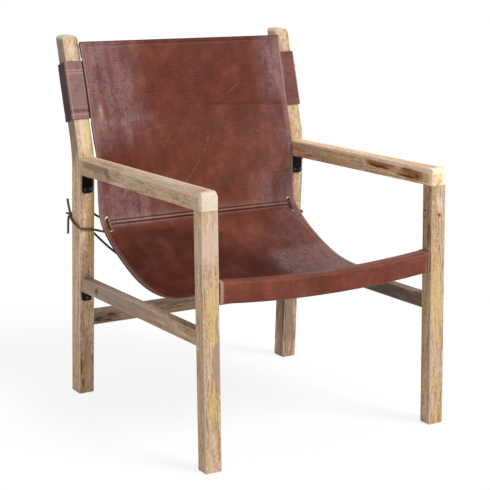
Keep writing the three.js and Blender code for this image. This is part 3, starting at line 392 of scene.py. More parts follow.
# Mango wood, sanded and left matt: pale straw to pinkish tan, with yellow spalted clouds, browner
# heartwood inside fine growth lines, short dark pores along the grain, and here and there a knot.
# Sizes are in millimetres of real wood, across and along the grain, with the noise's detail, its
# distortion and a shift. The pores are drawn twice as wide, so that they show.
GRAIN = {"streak": (10, 230, 3, 0.5, 0), "fibre": (0.8, 26, 2, 0, 0), "pore": (0.7, 7, 1, 0, 0),
         "figure": (36, 330, 1, 0.3, 4), "cloud": (24, 80, 4, 0.6, 9), "blush": (45, 170, 2, 0.2, 17),
         "band": (3.4, 70, 3, 0.3, 31), "fleck": (2.8, 10, 2, 0.4, 43)}
GRAIN_TURN = {"X": (0, 0, 0), "Y": (0, 0, pi / 2), "Z": (0, pi / 2, 0)}
FRAYED = 1.9

# Marks that the photograph shows on single pieces: knots, stains and pale or yellow spots, and a few that are painted
# light or painted shade. Each is a place (depth from the rear posts' bend), a half size, both in millimetres, a colour
# and its strength.
MARKS = {
    "rear_post_left": [
        (-283.5, 0, 400, 8.5, 30, 160, "#D2A93F", 0.75), (-320, 70, 760, 2.2, 120, 200, "#7F6D5A", 0.85),
        (-320, 30, 630, 2.2, 50, 70, "#7D6A57", 0.8), (-312, 50, 840, 4, 50, 30, "#C39A7E", 0.6),
        (-315, 24.6102, 75, 3, 10, 35, "#5F3A28", 0.85), (-310, 23.7288, 28, 3, 8, 20, "#6B4632", 0.8),
        (-317, 25.9153, 125, 3, 10, 22, "#6B4632", 0.75), (-300, 20.7627, 110, 12, 20, 50, "#B5917A", 0.6),
        (-286, 21.1864, 85, 4, 10, 20, "#8A6A50", 0.7), (-290, 55, 830, 6, 20, 6, "#8A6E4A", 0.8),
        (-286, 60, 847, 4, 20, 5, "#7A603F", 0.8), (-300, 55, 840, 16, 40, 20, "#E0D2B8", 0.6),
        (-290, 20, 655, 13, 50, 60, "#E4CD8B", 0.75), (-304, 10, 645, 8, 40, 55, "#E2D0BC", 0.75)],
    "rear_post_right": [
        (285, 30, 130, 50, 50, 260, "#84695A", 0.85), (281.5, 20, 150, 3.5, 12, 130, "#4A3226", 0.8),
        (292, 60, 835, 8, 30, 30, "#B98B63", 0.6), (311, 50, 840, 6, 30, 30, "#CDB75C", 0.6)],
    "front_post_left": [
        (-297, -582, 345, 18, 20, 95, "#D8BE74", 0.5), (-288, -582, 235, 14, 30, 85, "#86664F", 0.55),
        (-287, -582, 235, 11, 30, 74, "#B3978A", 0.65), (-300, -572, 500, 30, 40, 70, "#DDC6B6", 0.65),
        (-300, -582, 140, 12, 20, 70, "#D6BC72", 0.5)],
    "front_post_right": [
        (303, -572, 523, 11, 20, 22, "#EADCCF", 0.65), (302, -572, 494, 5, 20, 7, "#6A3F2E", 0.9),
        (281, -568, 452, 4, 8, 35, "#8E5A33", 0.8), (280, -552, 530, 4, 12, 30, "#A07A66", 0.6),
        (280, -552, 502, 4, 5, 5, "#6B4632", 0.8), (298, -572, 280, 22, 30, 120, "#DDBB74", 0.5)],
    # The left arm's first and last marks are painted light: they make its front end and its top paler.
    "arm_left": [
        (-300, -574, 580, 40, 12, 60, "#F1E3D1", 0.85), (-320, -108.69, 575, 12, 120, 30, "#9C8466", 0.55),
        (-320, -298.69, 572, 12, 70, 20, "#A79C80", 0.5), (-320, -88.69, 580, 10, 70, 18, "#846B50", 0.6),
        (-320, -143.69, 577, 8, 16, 15, "#5A452F", 0.6), (-320, -188.69, 590, 8, 34, 5, "#624C36", 0.7),
        (-320, -203.69, 576, 8, 30, 3, "#6E5842", 0.5), (-320, -308.69, 581, 8, 30, 4, "#7A6348", 0.5),
        (-300, -298.69, 600, 30, 300, 8, "#E6CFB9", 0.55)],
    "arm_right": [
        (300, -568, 583, 24, 20, 20, "#E2C58F", 0.6), (280, -107, 577, 12, 55, 13, "#B9A9A2", 0.6),
        (280, -187, 571, 12, 50, 12, "#B09B6C", 0.5), (280, -272, 562, 12, 90, 10, "#CFAF98", 0.5),
        (280, -372, 584, 12, 60, 12, "#936238", 0.95), (280, -497, 577, 12, 60, 20, "#8E5C38", 0.95),
        (280, -372, 577, 8, 55, 4, "#4E2F1B", 0.9), (280, -332, 589, 8, 30, 3, "#5E3E26", 0.7),
        (280, -482, 588, 8, 36, 5, "#452716", 0.9), (280, -472, 570, 8, 44, 4, "#4E2F1B", 0.85),
        (280, -514, 574, 8, 12, 6, "#4E2F1E", 0.6), (280, -417, 563, 8, 45, 2.5, "#6B4A33", 0.6),
        (310, -522, 605, 20, 60, 10, "#B08A66", 0.5)],
    "side_rail_left": [
        (-302, -187.8424, 280, 50, 350, 50, "#A68D7F", 0.6), (-315, -70.8424, 282, 6, 10, 11, "#5E352A", 0.85)],
    # Painted shade: this mark makes the whole right side rail darker.
    "side_rail_right": [(302, -327.8424, 280, 50, 360, 50, "#7A6962", 0.85)],
    "cross_rail": [
        (-245, 26.0127, 188, 45, 10, 14, "#7F5D44", 0.7), (-262, 26.0127, 184, 10, 8, 10, "#4A3023", 0.8),
        (-228, 26.0127, 192, 18, 8, 4, "#523726", 0.8), (-242, 26.0127, 179, 16, 8, 3, "#4A3023", 0.75)],
}
NODES["mapped"] = ("Mapping", {}, ("Vector", "Scale", "Rotation", "Location"), 0)
NODES["vector"] = ("VectorMath", {}, ("operation", 0, 1, 2), 0)
NODES["spread"] = ("MapRange", {}, ("Value", 3, 4), 0)
NODES["tone"] = ("Attribute", {}, ("attribute_name",), "Fac")


def mango_wood(name, axis, offset, yellow=0.5, heart=0.5, shade=1.0):
    """Mango wood whose grain runs along an axis; offset moves the pattern to another plank. Shade scales the piece's
    brightness, partly for the plank's own tone and partly as painted light and shade: the right arm is painted lighter
    and the right side rail darker.
    """
    paint = new_material(f"sanded_mango_wood_{name}")
    place = paint.add("place")
    plank = paint.add("mapped", place, Rotation=GRAIN_TURN[axis], Location=offset)
    bend = paint.add("noise", plank, 5, 1, out="Color")
    grain = paint.add("vector", "MULTIPLY_ADD", bend, (0, 0.02, 0.02), plank)
    layers = {}
    for kind, (across, along, detail, distortion, shift) in GRAIN.items():
        space = paint.add("mapped", grain, (1000 / along, 1000 / across, 1000 / across), Location=(shift, shift, 0))
        layers[kind] = paint.add("noise", space, 1, detail, distortion)
    streak, fibre, pore, figure, cloud, blush, band, fleck = layers.values()
    colour = paint.add("ramp", streak, (0.3, "#BB9570"), (0.43, "#CDAC86"), (0.55, "#DBC09E"), (0.7, "#E8D3B8"))
    colour = paint.layer("MIX", colour, paint.add("step", blush, 0.46, 0.62), 0.55, "#DCBBA4")
    straw = paint.add("maths", "MULTIPLY", paint.add("step", cloud, 0.5, 0.62), paint.add("step", fibre, 0.25, 0.6))
    colour = paint.layer("MIX", colour, straw, yellow, "#D6B264")
    colour = paint.layer("MIX", colour, paint.add("step", figure, 0.585, 0.6), 0.6 * heart, "#B08D74")
    rings = paint.add("maths", "PINGPONG", paint.add("maths", "MULTIPLY", figure, 17), 0.5)
    colour = paint.layer("MULTIPLY", colour, paint.add("step", rings, 0.13, 0.0), 0.3, "#A98564")
    colour = paint.layer("MULTIPLY", colour, paint.add("step", fibre, 0.6, 0.36), 0.4, "#C0A68F")
    colour = paint.layer("MULTIPLY", colour, paint.add("step", band, 0.47, 0.33), 0.62, "#AD8E72")
    colour = paint.layer("MIX", colour, paint.add("step", band, 0.56, 0.68), 0.4, "#EAD8BF")
    flame = paint.add("noise", paint.add("mapped", paint.add("mapped", grain, Rotation=(0, 0.5, 0.5)), (48, 240, 240)),
                      1, 3)
    colour = paint.layer("MULTIPLY", colour, paint.add("step", flame, 0.47, 0.34), 0.28, "#B4916F")
    colour = paint.layer("MIX", colour, paint.add("step", flame, 0.55, 0.68), 0.4, "#F0E0C6")
    flecks = paint.add("maths", "MULTIPLY", paint.add("step", fleck, 0.60, 0.68), paint.add("step", cloud, 0.42, 0.6))
    colour = paint.layer("MULTIPLY", colour, flecks, 0.6, "#7A5A42")
    pores = paint.add("step", pore, 0.66, 0.74)
    colour = paint.layer("MULTIPLY", colour, pores, 0.55, "#80634A")
    ragged = paint.add("noise", paint.add("mapped", grain, (22, 110, 110)), 1, 4, out="Color")
    for x, y, z, wide, deep, high, code, strength in MARKS.get(name, ()):
        spot, size = lace_points([(x, y, z)])[0], (wide * MM, deep * MM, high * MM)
        local = paint.add("mapped", place, tuple(1 / half for half in size),
                          Location=tuple(-a / b for a, b in zip(spot, size)))
        frayed = paint.add("vector", "MULTIPLY_ADD", ragged, (FRAYED,) * 3, local)
        centred = paint.add("vector", "SUBTRACT", frayed, (FRAYED / 2,) * 3)
        far = paint.add("vector", "LENGTH", centred, out="Value")
        colour = paint.layer("MIX", colour, paint.add("step", far, 1.05, 0.45), strength, code)
    # Painted highlight: the rounded edges are made lighter, for the light they catch as well as for the paler sanded
    # wood.
    edge = paint.add("step", paint.add("tone", "edge"), 0.3, 1)
    colour = paint.layer("MIX", colour, edge, 0.5, "#F3E2CC")
    colour = paint.add("mix", "MULTIPLY", 1.0, colour, (0.88 * shade, 0.865 * shade, 0.85 * shade, 1))
    bump = paint.add("bump", paint.add("maths", "SUBTRACT", fibre, pores), 0.3, 0.15 * MM)
    return paint.done({"Base Color": colour, "Normal": bump, "Roughness": paint.add("spread", streak, 0.5, 0.66),
                       "IOR": 1.45, "Specular IOR Level": 0.3})


def finish_wood(block, node, *figure):
    """Smooths a wooden piece, gives it its own plank of mango wood, and finishes it."""
    smooth_finish(block)
    block.data.materials.append(mango_wood(*figure))
    finish_piece(block, "wood", node)


RING_HEIGHTS = [0.30, 0.545, 0.562, 0.578, 0.592, 0.606, 0.620, 0.636, 0.652, 0.760, BACK_HEIGHT]
for side, hand in SIDES:
    x = side * POST_CENTRE
    below = RING_HEIGHTS[0] / 2
    post = add_block(f"rear_post_wood_{hand}", x, POST_WIDTH,
                     (MIDDLE_Y + post_face(0), MIDDLE_Y + post_back(0)), (0, below))
    pick(post, "FACE", lambda at, way: way.z > 0.9)
    move((0, post_face(below) - post_face(0), 0))
    for height in RING_HEIGHTS:
        low_depth, depth = post_back(below) - post_face(below), post_back(height) - post_face(height)
        low_middle, middle = post_face(below) + low_depth / 2, post_face(height) + depth / 2
        extrude((0, middle - low_middle, height - below))
        bpy.ops.transform.resize(value=(1, depth / low_depth, 1), center_override=(x, MIDDLE_Y + middle, height))
        below = height
    pick(post, "EDGE", lambda at, way: at.z > BACK_HEIGHT - 1e-4 and way.y > 0.9)
    bevel(TOP_CORNER_RADIUS, 6)
    round_edges(EDGE_RADIUS)
    name = f"rear_post_{hand}"
    finish_wood(post, name, name, "Z", (0.13, 0.31 * side, 0.07), 0.6, 0.4, 1.17)

# Front posts
# Straight posts of the same wood, splayed so that each foot stands a little forward. The arm lies
# on the top end, and the side rail and the sling's rail are dowelled into the back and the side.
ARM_LENGTH = 0.572
FOOT_ADVANCE = 0.020
FRONT_POST_DEPTH = 0.034
ARM_FRONT_HEIGHT = 0.600
ARM_REAR_HEIGHT = 0.592
ARM_THICKNESS = 0.040
ARM_SLOPE = (ARM_FRONT_HEIGHT - ARM_REAR_HEIGHT) / ARM_LENGTH
JOINT_GAP = 0.0003
FRONT_POST_TOP = ARM_FRONT_HEIGHT - ARM_THICKNESS - JOINT_GAP
JOINT_EDGE = 0.0004
FRONT_PLANKS = {"left": ((0.42, 0.2, 0.55), 0.45, 0.3), "right": ((1.3, 0.74, 0.36), 0.8, 0.3)}
ARM_FACE = MIDDLE_Y - ARM_LENGTH
for side, hand in SIDES:
    front = ARM_FACE - FOOT_ADVANCE
    post = add_block(f"front_post_wood_{hand}", side * POST_CENTRE, POST_WIDTH,
                     (front, front + FRONT_POST_DEPTH), (0, FRONT_POST_TOP))
    pick(post, "FACE", lambda at, way: way.z > 0.9)
    move((0, FOOT_ADVANCE, 0))
    pick(post, "EDGE", lambda at, way: way.x > 0.9 and at.z > 0.1 and at.y > ARM_FACE + FRONT_POST_DEPTH / 2)
    move((0, 0, -ARM_SLOPE * FRONT_POST_DEPTH))
    pick(post, "EDGE", lambda at, way: way.z > 0.9 or at.z < 0.1)
    bevel(EDGE_RADIUS, 3)
    pick(post, "EDGE", lambda at, way: at.z > 0.5 and way.z <= 0.9)
    bevel(JOINT_EDGE, 1)
    name = f"front_post_{hand}"
    finish_wood(post, name, name, "Z", *FRONT_PLANKS[hand])

# Arms
# Flat bars that butt against the rear posts and lie on the front posts. The corner that the hand
# meets is sanded much rounder than the rest.
HAND_CORNER = 0.010
HAND_REACH = 0.014
HAND_SLICES = (0.1, 0.2, 0.3, 0.42, 0.55, 0.7, 0.85, 1)
LOWER_EDGE = 0.0009
ARM_NOSE = 0.008
ARM_UNDERSIDE = ARM_REAR_HEIGHT - ARM_THICKNESS
# The last number of each is its shade: the right arm is painted lighter.
ARM_PLANKS = {"left": ((0.9, 0.12, 0.33), 0.4, 0.35, 1), "right": ((0.27, 0.58, 0.81), 0.4, 0.8, 1.6)}


def ease(value, low, high):
    """0 at low, 1 at high and a smooth rise between; low above high makes it a fall."""
    share = min(1, max(0, (value - low) / (high - low)))
    return share * share * (3 - 2 * share)


def round_corner(block, corner, outward, radius, reach):
    """Sands one corner round: the radius fades out along the three edges that meet in it."""
    for axis in range(3):
        across = [float(other == axis) for other in range(3)]
        for share in HAND_SLICES:
            middle = [flag * (corner[axis] - outward[axis] * reach * share) for flag in across]
            bpy.ops.mesh.select_all(action="SELECT")
            bpy.ops.mesh.bisect(plane_co=middle, plane_no=across)
    shape = bmesh.from_edit_mesh(block.data)
    for vert in shape.verts:
        inside = [(corner[axis] - vert.co[axis]) * outward[axis] for axis in range(3)]
        ball = radius * ease(Vector(inside).length, reach * 1.25, reach * 0.15)
        past = Vector([max(0, ball - depth) for depth in inside])
        if past.length > ball > 0:
            past *= ball / past.length
            for axis in range(3):
                if ball > inside[axis]:
                    vert.co[axis] = corner[axis] - outward[axis] * (ball - past[axis])
    bmesh.update_edit_mesh(block.data)


for side, hand in SIDES:
    x = side * POST_CENTRE
    rear = MIDDLE_Y + post_face(ARM_UNDERSIDE) - JOINT_GAP
    bar = add_block(f"arm_wood_{hand}", x, POST_WIDTH, (ARM_FACE, rear), (ARM_UNDERSIDE, ARM_REAR_HEIGHT))
    pick(bar, "FACE", lambda at, way: way.y < -0.9)
    move((0, 0, ARM_FRONT_HEIGHT - ARM_REAR_HEIGHT))
    pick(bar, "EDGE", lambda at, way: way.x > 0.9 and at.y < 0 and at.z > 0.58)
    bevel(ARM_NOSE, 5)
    pick(bar, "EDGE", lambda at, way: at.z < 0.565 and way.z <= 0.9 and at.y < rear - 0.01)
    bevel(LOWER_EDGE, 2)
    pick(bar, "EDGE", lambda at, way: at.z > ARM_UNDERSIDE + 0.004 and at.y < rear - 0.01, sharpness=50)
    bevel(EDGE_RADIUS, 3)
    round_corner(bar, (x + POST_WIDTH / 2, ARM_FACE, ARM_FRONT_HEIGHT), (1, -1, 1), HAND_CORNER, HAND_REACH)
    name = f"arm_{hand}"
    finish_wood(bar, name, name, "Y", *ARM_PLANKS[hand])

# Side rails and rear cross rail
# Slimmer bars that brace the frame. The side rails are set in from the outer faces, and the cross
# rail joins the rear posts low down.
SIDE_RAIL_WIDTH = 0.026
SIDE_RAIL_HEIGHT = 0.033
SIDE_RAIL_INSET = 0.005
SIDE_RAIL_CENTRE = HALF_WIDTH - SIDE_RAIL_INSET - SIDE_RAIL_WIDTH / 2
SIDE_RAIL_REAR_TOP = 0.296
SIDE_RAIL_UNDERSIDE = SIDE_RAIL_REAR_TOP - SIDE_RAIL_HEIGHT
SIDE_RAIL_RISE = 0.006
RAIL_EDGE = 0.002
CROSS_RAIL_DEPTH = 0.026
CROSS_RAIL_HEIGHT = 0.035
CROSS_RAIL_TOP = 0.206
for side, hand in SIDES:
    rear = MIDDLE_Y + post_face(SIDE_RAIL_REAR_TOP) - JOINT_GAP
    splay = FOOT_ADVANCE * (1 - SIDE_RAIL_REAR_TOP / FRONT_POST_TOP)
    rail = add_block(f"side_rail_wood_{hand}", side * SIDE_RAIL_CENTRE, SIDE_RAIL_WIDTH,
                     (ARM_FACE - splay + FRONT_POST_DEPTH + JOINT_GAP, rear), (SIDE_RAIL_UNDERSIDE, SIDE_RAIL_REAR_TOP))
    pick(rail, "FACE", lambda at, way: way.y < -0.9)
    move((0, 0, SIDE_RAIL_RISE))
    round_edges(RAIL_EDGE)
    name = f"side_rail_{hand}"
    # The right side rail is painted darker than the left: painted shade.
    finish_wood(rail, name, name, "Y", (0.61, 0.4 * side, 0.9), 0.2, 0.9, 0.86 if side < 0 else 0.66)

middle = MIDDLE_Y + REAR_POST_DEPTH / 2 + post_face(CROSS_RAIL_TOP - CROSS_RAIL_HEIGHT / 2)
cross_rail = add_block("cross_rail_wood", 0, 2 * (HALF_WIDTH - POST_WIDTH - JOINT_GAP),
                       (middle - CROSS_RAIL_DEPTH / 2, middle + CROSS_RAIL_DEPTH / 2),
                       (CROSS_RAIL_TOP - CROSS_RAIL_HEIGHT, CROSS_RAIL_TOP))
round_edges(RAIL_EDGE)
finish_wood(cross_rail, "rear_cross_rail", "cross_rail", "X", (0.2, 0.7, 0.15), 0.2, 0.9, 0.8)

# Front rail and dowels
# The rail that the sling's sleeve goes round is dished like a yoke. It and the dowels are hidden
# in the joints, and keep the shape that they have in the frame.
hidden_wood = mango_wood("hidden_rail", "X", (0.5, 0.5, 0.5))
for name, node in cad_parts.items():
    if name == "front_rail" or "dowel" in name:
        for slot in node.material_slots:
            slot.material = hidden_wood

# Angle brackets
# Strips of 3 mm mild steel, bent square and painted satin black. The larger pair holds the arms to
# the rear posts, and the smaller pair holds the side rails.
PLATE = 0.003
PLATE_CORNER = 0.006
OUTER_BEND = PLATE * 0.8
PLATE_EDGE = PLATE * 0.12
RAIL_SLOPE = SIDE_RAIL_RISE / (ARM_LENGTH - FRONT_POST_DEPTH)
# For each kind: place across, underside and slope of its bar, then width, drop and reach.
BRACKETS = {"arm": (POST_CENTRE, ARM_UNDERSIDE, ARM_SLOPE, 0.027, 0.046, 0.040),
            "rail": (SIDE_RAIL_CENTRE, SIDE_RAIL_UNDERSIDE, RAIL_SLOPE, 0.025, 0.024, 0.026)}


def black_paint():
    """Satin black paint on steel: even, with a faint orange peel and a soft broad gloss."""
    paint = new_material("satin_black_painted_steel")
    place = paint.add("place")
    colour = paint.add("ramp", paint.add("noise", place, 120, 3), (0.3, "#020202"), (0.7, "#060505"))
    bump = paint.add("bump", paint.add("noise", place, 1400, 1), 0.15, 0.05 * MM)
    return paint.done({"Base Color": colour, "Normal": bump, "Roughness": 0.45, "IOR": 1.5,
                       "Specular IOR Level": 0.12})


BLACK_PAINT = black_paint()
for side, hand in SIDES:
    for kind, (centre, underside, slope, width, drop, reach) in BRACKETS.items():
        face = MIDDLE_Y + post_face(underside) - JOINT_GAP
        top, low = underside - JOINT_GAP, underside - drop
        bracket = add_block(f"{kind}_angle_{hand}", side * centre, width, (face - PLATE, face), (low, top - PLATE))
        pick(bracket, "FACE", lambda at, way: way.z < -0.9)
        move((0, post_face(low) - post_face(underside), 0))
        pick(bracket, "FACE", lambda at, way: way.z > 0.9)
        extrude((0, 0, PLATE))
        pick(bracket, "FACE", lambda at, way: way.y < -0.9 and at.z > top - PLATE)
        extrude((0, PLATE - reach, (reach - PLATE) * slope))
        pick(bracket, "EDGE", lambda at, way: way.y > 0.9 and at.z < low + PLATE)
        bevel(PLATE_CORNER, 6)
        pick(bracket, "EDGE", lambda at, way: way.z > 0.9 and at.y < face - reach + PLATE)
        bevel(PLATE_CORNER / 2, 4)
        pick(bracket, "EDGE", lambda at, way: way.x > 0.9 and at.y > face - PLATE / 2 and at.z > top - PLATE / 2)
        bevel(OUTER_BEND, 4)
        round_edges(PLATE_EDGE)
        smooth_finish(bracket)
        bracket.data.materials.append(BLACK_PAINT)
        finish_piece(bracket, "black_steel", f"{kind}_bracket_{hand}")

# Screws
# Cross recessed pan head screws, blacked like the brackets: two in each leg of an arm bracket, one
# in each leg of a rail bracket, and two behind each post loop.
SCREW_HEAD = 0.0042
SCREW_HEAD_HEIGHT = 0.0024
SCREW_SHANK = 0.0019
SCREW_LENGTH = 0.026
RECESS_ARM = 0.0022
RECESS_WIDTH = 0.0008
RECESS_REACH = (SCREW_HEAD_HEIGHT * 0.35, SCREW_HEAD_HEIGHT * 1.5)
RECESS_TAPER = 0.7
HEAD_ROUNDING = SCREW_HEAD_HEIGHT * 0.55
TIP_LENGTH = SCREW_LENGTH * 0.2
TIP_SHARE = 0.15
SCREW_FROM_END = 0.009
SCREW_ASIDE = 0.0075
LOOP_TOP = 0.813
LOOP_LENGTH = 0.138
LOOP_SCREWS = {"upper": 0.114, "lower": 0.024}
LOOP_STACK = 2 * JOINT_GAP + 0.003
PLATE_STACK = PLATE + 2 * JOINT_GAP


def cut_away(piece, tool):
    """Cuts a tool's shape out of a piece and takes the tool away."""
    apply_modifier(piece, "BOOLEAN", operation="DIFFERENCE", object=tool)
    bpy.data.objects.remove(tool)


def black_oxide():
    """Blacked steel: dark grey with a dry metal glint on the scuffed edges."""
    paint = new_material("black_oxide_steel")
    colour = paint.add("ramp", paint.add("noise", paint.add("place"), 500, 3), (0.35, "#2A2A2C"), (0.7, "#5A5A5E"))
    return paint.done({"Base Color": colour, "Metallic": 0.7, "Roughness": 0.42})


bpy.ops.object.select_all(action="DESELECT")
bpy.ops.mesh.primitive_cylinder_add(vertices=32, radius=SCREW_HEAD, depth=SCREW_HEAD_HEIGHT,
                                    location=(0, 0, SCREW_HEAD_HEIGHT / 2))
screw = bpy.context.object
bpy.ops.object.transform_apply(location=True, rotation=True, scale=True)
bpy.ops.object.mode_set(mode="EDIT")
pick(screw, "EDGE", lambda at, way: at.z > SCREW_HEAD_HEIGHT * 0.9)
bevel(HEAD_ROUNDING, 5)
pick(screw, "FACE", lambda at, way: way.z < -0.9)
bpy.ops.mesh.inset(thickness=SCREW_HEAD - SCREW_SHANK, depth=0)
extrude((0, 0, TIP_LENGTH - SCREW_LENGTH))
extrude((0, 0, -TIP_LENGTH))
bpy.ops.transform.resize(value=(TIP_SHARE, TIP_SHARE, 1), center_override=(0, 0, -SCREW_LENGTH))
bpy.ops.object.mode_set(mode="OBJECT")
for long, wide in ((RECESS_ARM, RECESS_WIDTH), (RECESS_WIDTH, RECESS_ARM)):
    blade = add_block("recess_blade", 0, 2 * long, (-wide, wide), RECESS_REACH)
    pick(blade, "FACE", lambda at, way: way.z < -0.9)
    bpy.ops.transform.resize(value=(RECESS_TAPER, RECESS_TAPER, 1), center_override=(0, 0, 0))
    bpy.ops.object.mode_set(mode="OBJECT")
    cut_away(screw, blade)
bpy.ops.object.shade_smooth_by_angle(angle=radians(35))
screw.data.materials.append(black_oxide())


def drive_screw(node, seat, into, turn):
    """A copy of the screw with its head's seat at a place, driven in a direction."""
    mesh = screw.data.copy()
    tip = Vector((0, 0, -1)).rotation_difference(Vector(into)).to_matrix().to_4x4()
    mesh.transform(Matrix.Translation(seat) @ tip @ Matrix.Rotation(turn, 4, "Z"))
    finish_piece(add_object(f"pan_head_{node}", mesh), "screw_steel", node)


def screw_bracket(kind, hand, place, x, post_turn, bar_turn):
    """One screw through each leg of a bracket: back into the post and up into the bar."""
    underside, slope, _, drop, reach = BRACKETS[kind][1:]
    low = underside - drop + SCREW_FROM_END
    seat = (x, MIDDLE_Y + post_face(low) - PLATE_STACK, low)
    drive_screw(f"{kind}_bracket_screw_{hand}_post{place}", Vector(seat), (0, 1, 0), post_turn)
    depth = post_face(underside) - reach + SCREW_FROM_END
    seat = (x, MIDDLE_Y + depth, underside - slope * depth - PLATE_STACK)
    drive_screw(f"{kind}_bracket_screw_{hand}_{kind}{place}", Vector(seat), (0, 0, 1), bar_turn)


rake_angle = atan2(RAKE, 1)
loop_up = Vector((0, sin(rake_angle), cos(rake_angle)))
loop_back = Vector((0, cos(rake_angle), -sin(rake_angle)))
loop_top = Vector((0, MIDDLE_Y + RAKE * (LOOP_TOP - BEND_HEIGHT), LOOP_TOP))
loop_depth = RAKED_DEPTH * cos(rake_angle)
for side, hand in SIDES:
    for place, shift in (("_outer", SCREW_ASIDE), ("_inner", -SCREW_ASIDE)):
        x = side * (POST_CENTRE + shift)
        screw_bracket("arm", hand, place, x, 0.4 + x * 9, x * 7)
    screw_bracket("rail", hand, "", side * SIDE_RAIL_CENTRE, 0.9, 0.2)
    for place, along in LOOP_SCREWS.items():
        seat = loop_top - loop_up * (LOOP_LENGTH - along) + loop_back * (loop_depth + LOOP_STACK)
        seat.x = side * POST_CENTRE
        drive_screw(f"loop_screw_{hand}_{place}", seat, -loop_back, 0.3 + side)
bpy.data.objects.remove(screw)

# Sling
# One sheet of waxed cowhide with sewn hems down both sides and along the top. It lies over the
# raked posts, is tucked and sewn across where the back meets the seat, sags between the side
# rails, goes round the front rail as a sleeve and is sewn to itself under the seat.
SLING_HALF = 0.279
TOP_FLARE = 0.0025
TOP_TILT = 0.00075
LEATHER = 0.0035
VISIBLE_LEATHER = 0.0029
SLING_TOP = 0.8574
STANDOFF = 0.0084
TUCK_HEIGHT = 0.433
TUCK_FORWARD = 0.0265
SEAT_SAG = 0.094
SEAT_BELLY = 0.009
BACK_HOLLOW = 0.006
RAIL_DISH = 0.015
RAIL_TOP = 0.407
RAIL_HEIGHT = 0.042
RAIL_DEPTH = 0.028
RAIL_SETBACK = 0.002
RAIL_CORNER = 0.004
SLEEVE_ROOM = 0.0008
SLEEVE_LAP = 0.024
LAP_START = 0.034
LAP_ROWS = 6
HEM = 0.0125
HEM_STANDOFF = 0.0006
FREE_HEM_STANDOFF = 0.0032
ROW_STEP = 0.0046
CURVE_PIECES = 40
BACK_SHARES = [(1, 0), (0.792, 0), (0.584, 0), (0.454, 0.04), (0.348, 0.02), (0.218, 0.196), (0.099, 0.41),
               (0.038, 0.62), (0, 1)]
SEAT_SHARES = [(0.029, 0.152), (0.083, 0.35), (0.16, 0.564), (0.257, 0.772), (0.363, 0.936), (0.469, 1),
               (0.566, 0.983), (0.662, 0.894), (0.759, 0.743), (0.846, 0.571), (0.923, 0.338), (0.975, 0.113)]
# Tones laid on the sheet and the loops, in order: painted shade in creases, grooves and along edges, painted
# highlights, painted sheen, painted shade over broad areas, and painted light.
TONES = ("crease", "worn", "bloom", "dark", "pale")
MOST_TONE = 1.6
sleeve_gap = LEATHER + SLEEVE_ROOM
rail_face = ARM_FACE - FOOT_ADVANCE * (1 - (RAIL_TOP - RAIL_HEIGHT / 2) / (FRONT_POST_TOP + JOINT_GAP))
rail_face += RAIL_SETBACK + sleeve_gap


def bell(value, middle, width):
    """1 in the middle, falling softly to 0 on both sides of it."""
    return exp(-((value - middle) / width) ** 2)


def near(value, middle, far, close):
    """1 closer to the middle than one distance, and 0 beyond the other."""
    return ease(abs(value - middle), far, close)


def ripple(x, y, z):
    return noise.noise(Vector((x, y, z)))


def dish(x):
    return 1 - (x / (HALF_WIDTH - POST_WIDTH)) ** 2


def rounded_curve(controls):
    """A curve through control points in depth and height, as a fine polyline."""
    line = []
    for index in range(len(controls) - 1):
        a, b = controls[max(0, index - 1)], controls[index]
        c, d = controls[index + 1], controls[min(len(controls) - 1, index + 2)]
        for t in (step / CURVE_PIECES for step in range(CURVE_PIECES)):
            line.append(0.5 * (2 * b + (c - a) * t + (2 * a - 5 * b + 4 * c - d) * t * t
                               + (3 * b - a - 3 * c + d) * t ** 3))
    return line + [controls[-1]]


controls = []
for high, bow in BACK_SHARES:
    height = TUCK_HEIGHT + (SLING_TOP - TUCK_HEIGHT) * high
    above = height - BEND_HEIGHT
    post_line = (RAKE if above >= 0 else -LEAN) * above
    controls.append(Vector((MIDDLE_Y + post_line - STANDOFF - TUCK_FORWARD * bow, height)))
tuck = controls[-1]
rail = Vector((rail_face + RAIL_DEPTH + sleeve_gap, RAIL_TOP + sleeve_gap / 2 - RAIL_CORNER))
controls += [tuck + (rail - tuck) * run - Vector((0, SEAT_SAG * sag)) for run, sag in SEAT_SHARES]
sling_line = rounded_curve(controls)
sling_reach = [0]
for before, after in zip(sling_line, sling_line[1:]):
    sling_reach.append(sling_reach[-1] + (after - before).length)
face_length = sling_reach[-1]
tuck_reach = sling_reach[(len(BACK_SHARES) - 1) * CURVE_PIECES]


def on_sling(reach):
    """Place and outward normal of the sling's face at a distance from its top edge."""
    low = min(max(bisect_right(sling_reach, reach) - 1, 0), len(sling_reach) - 2)
    share = (reach - sling_reach[low]) / (sling_reach[low + 1] - sling_reach[low])
    ahead, behind = sling_line[min(low + 3, len(sling_line) - 1)], sling_line[max(low - 2, 0)]
    along = (ahead - behind).normalized()
    return sling_line[low].lerp(sling_line[low + 1], share), Vector((along.y, -along.x))


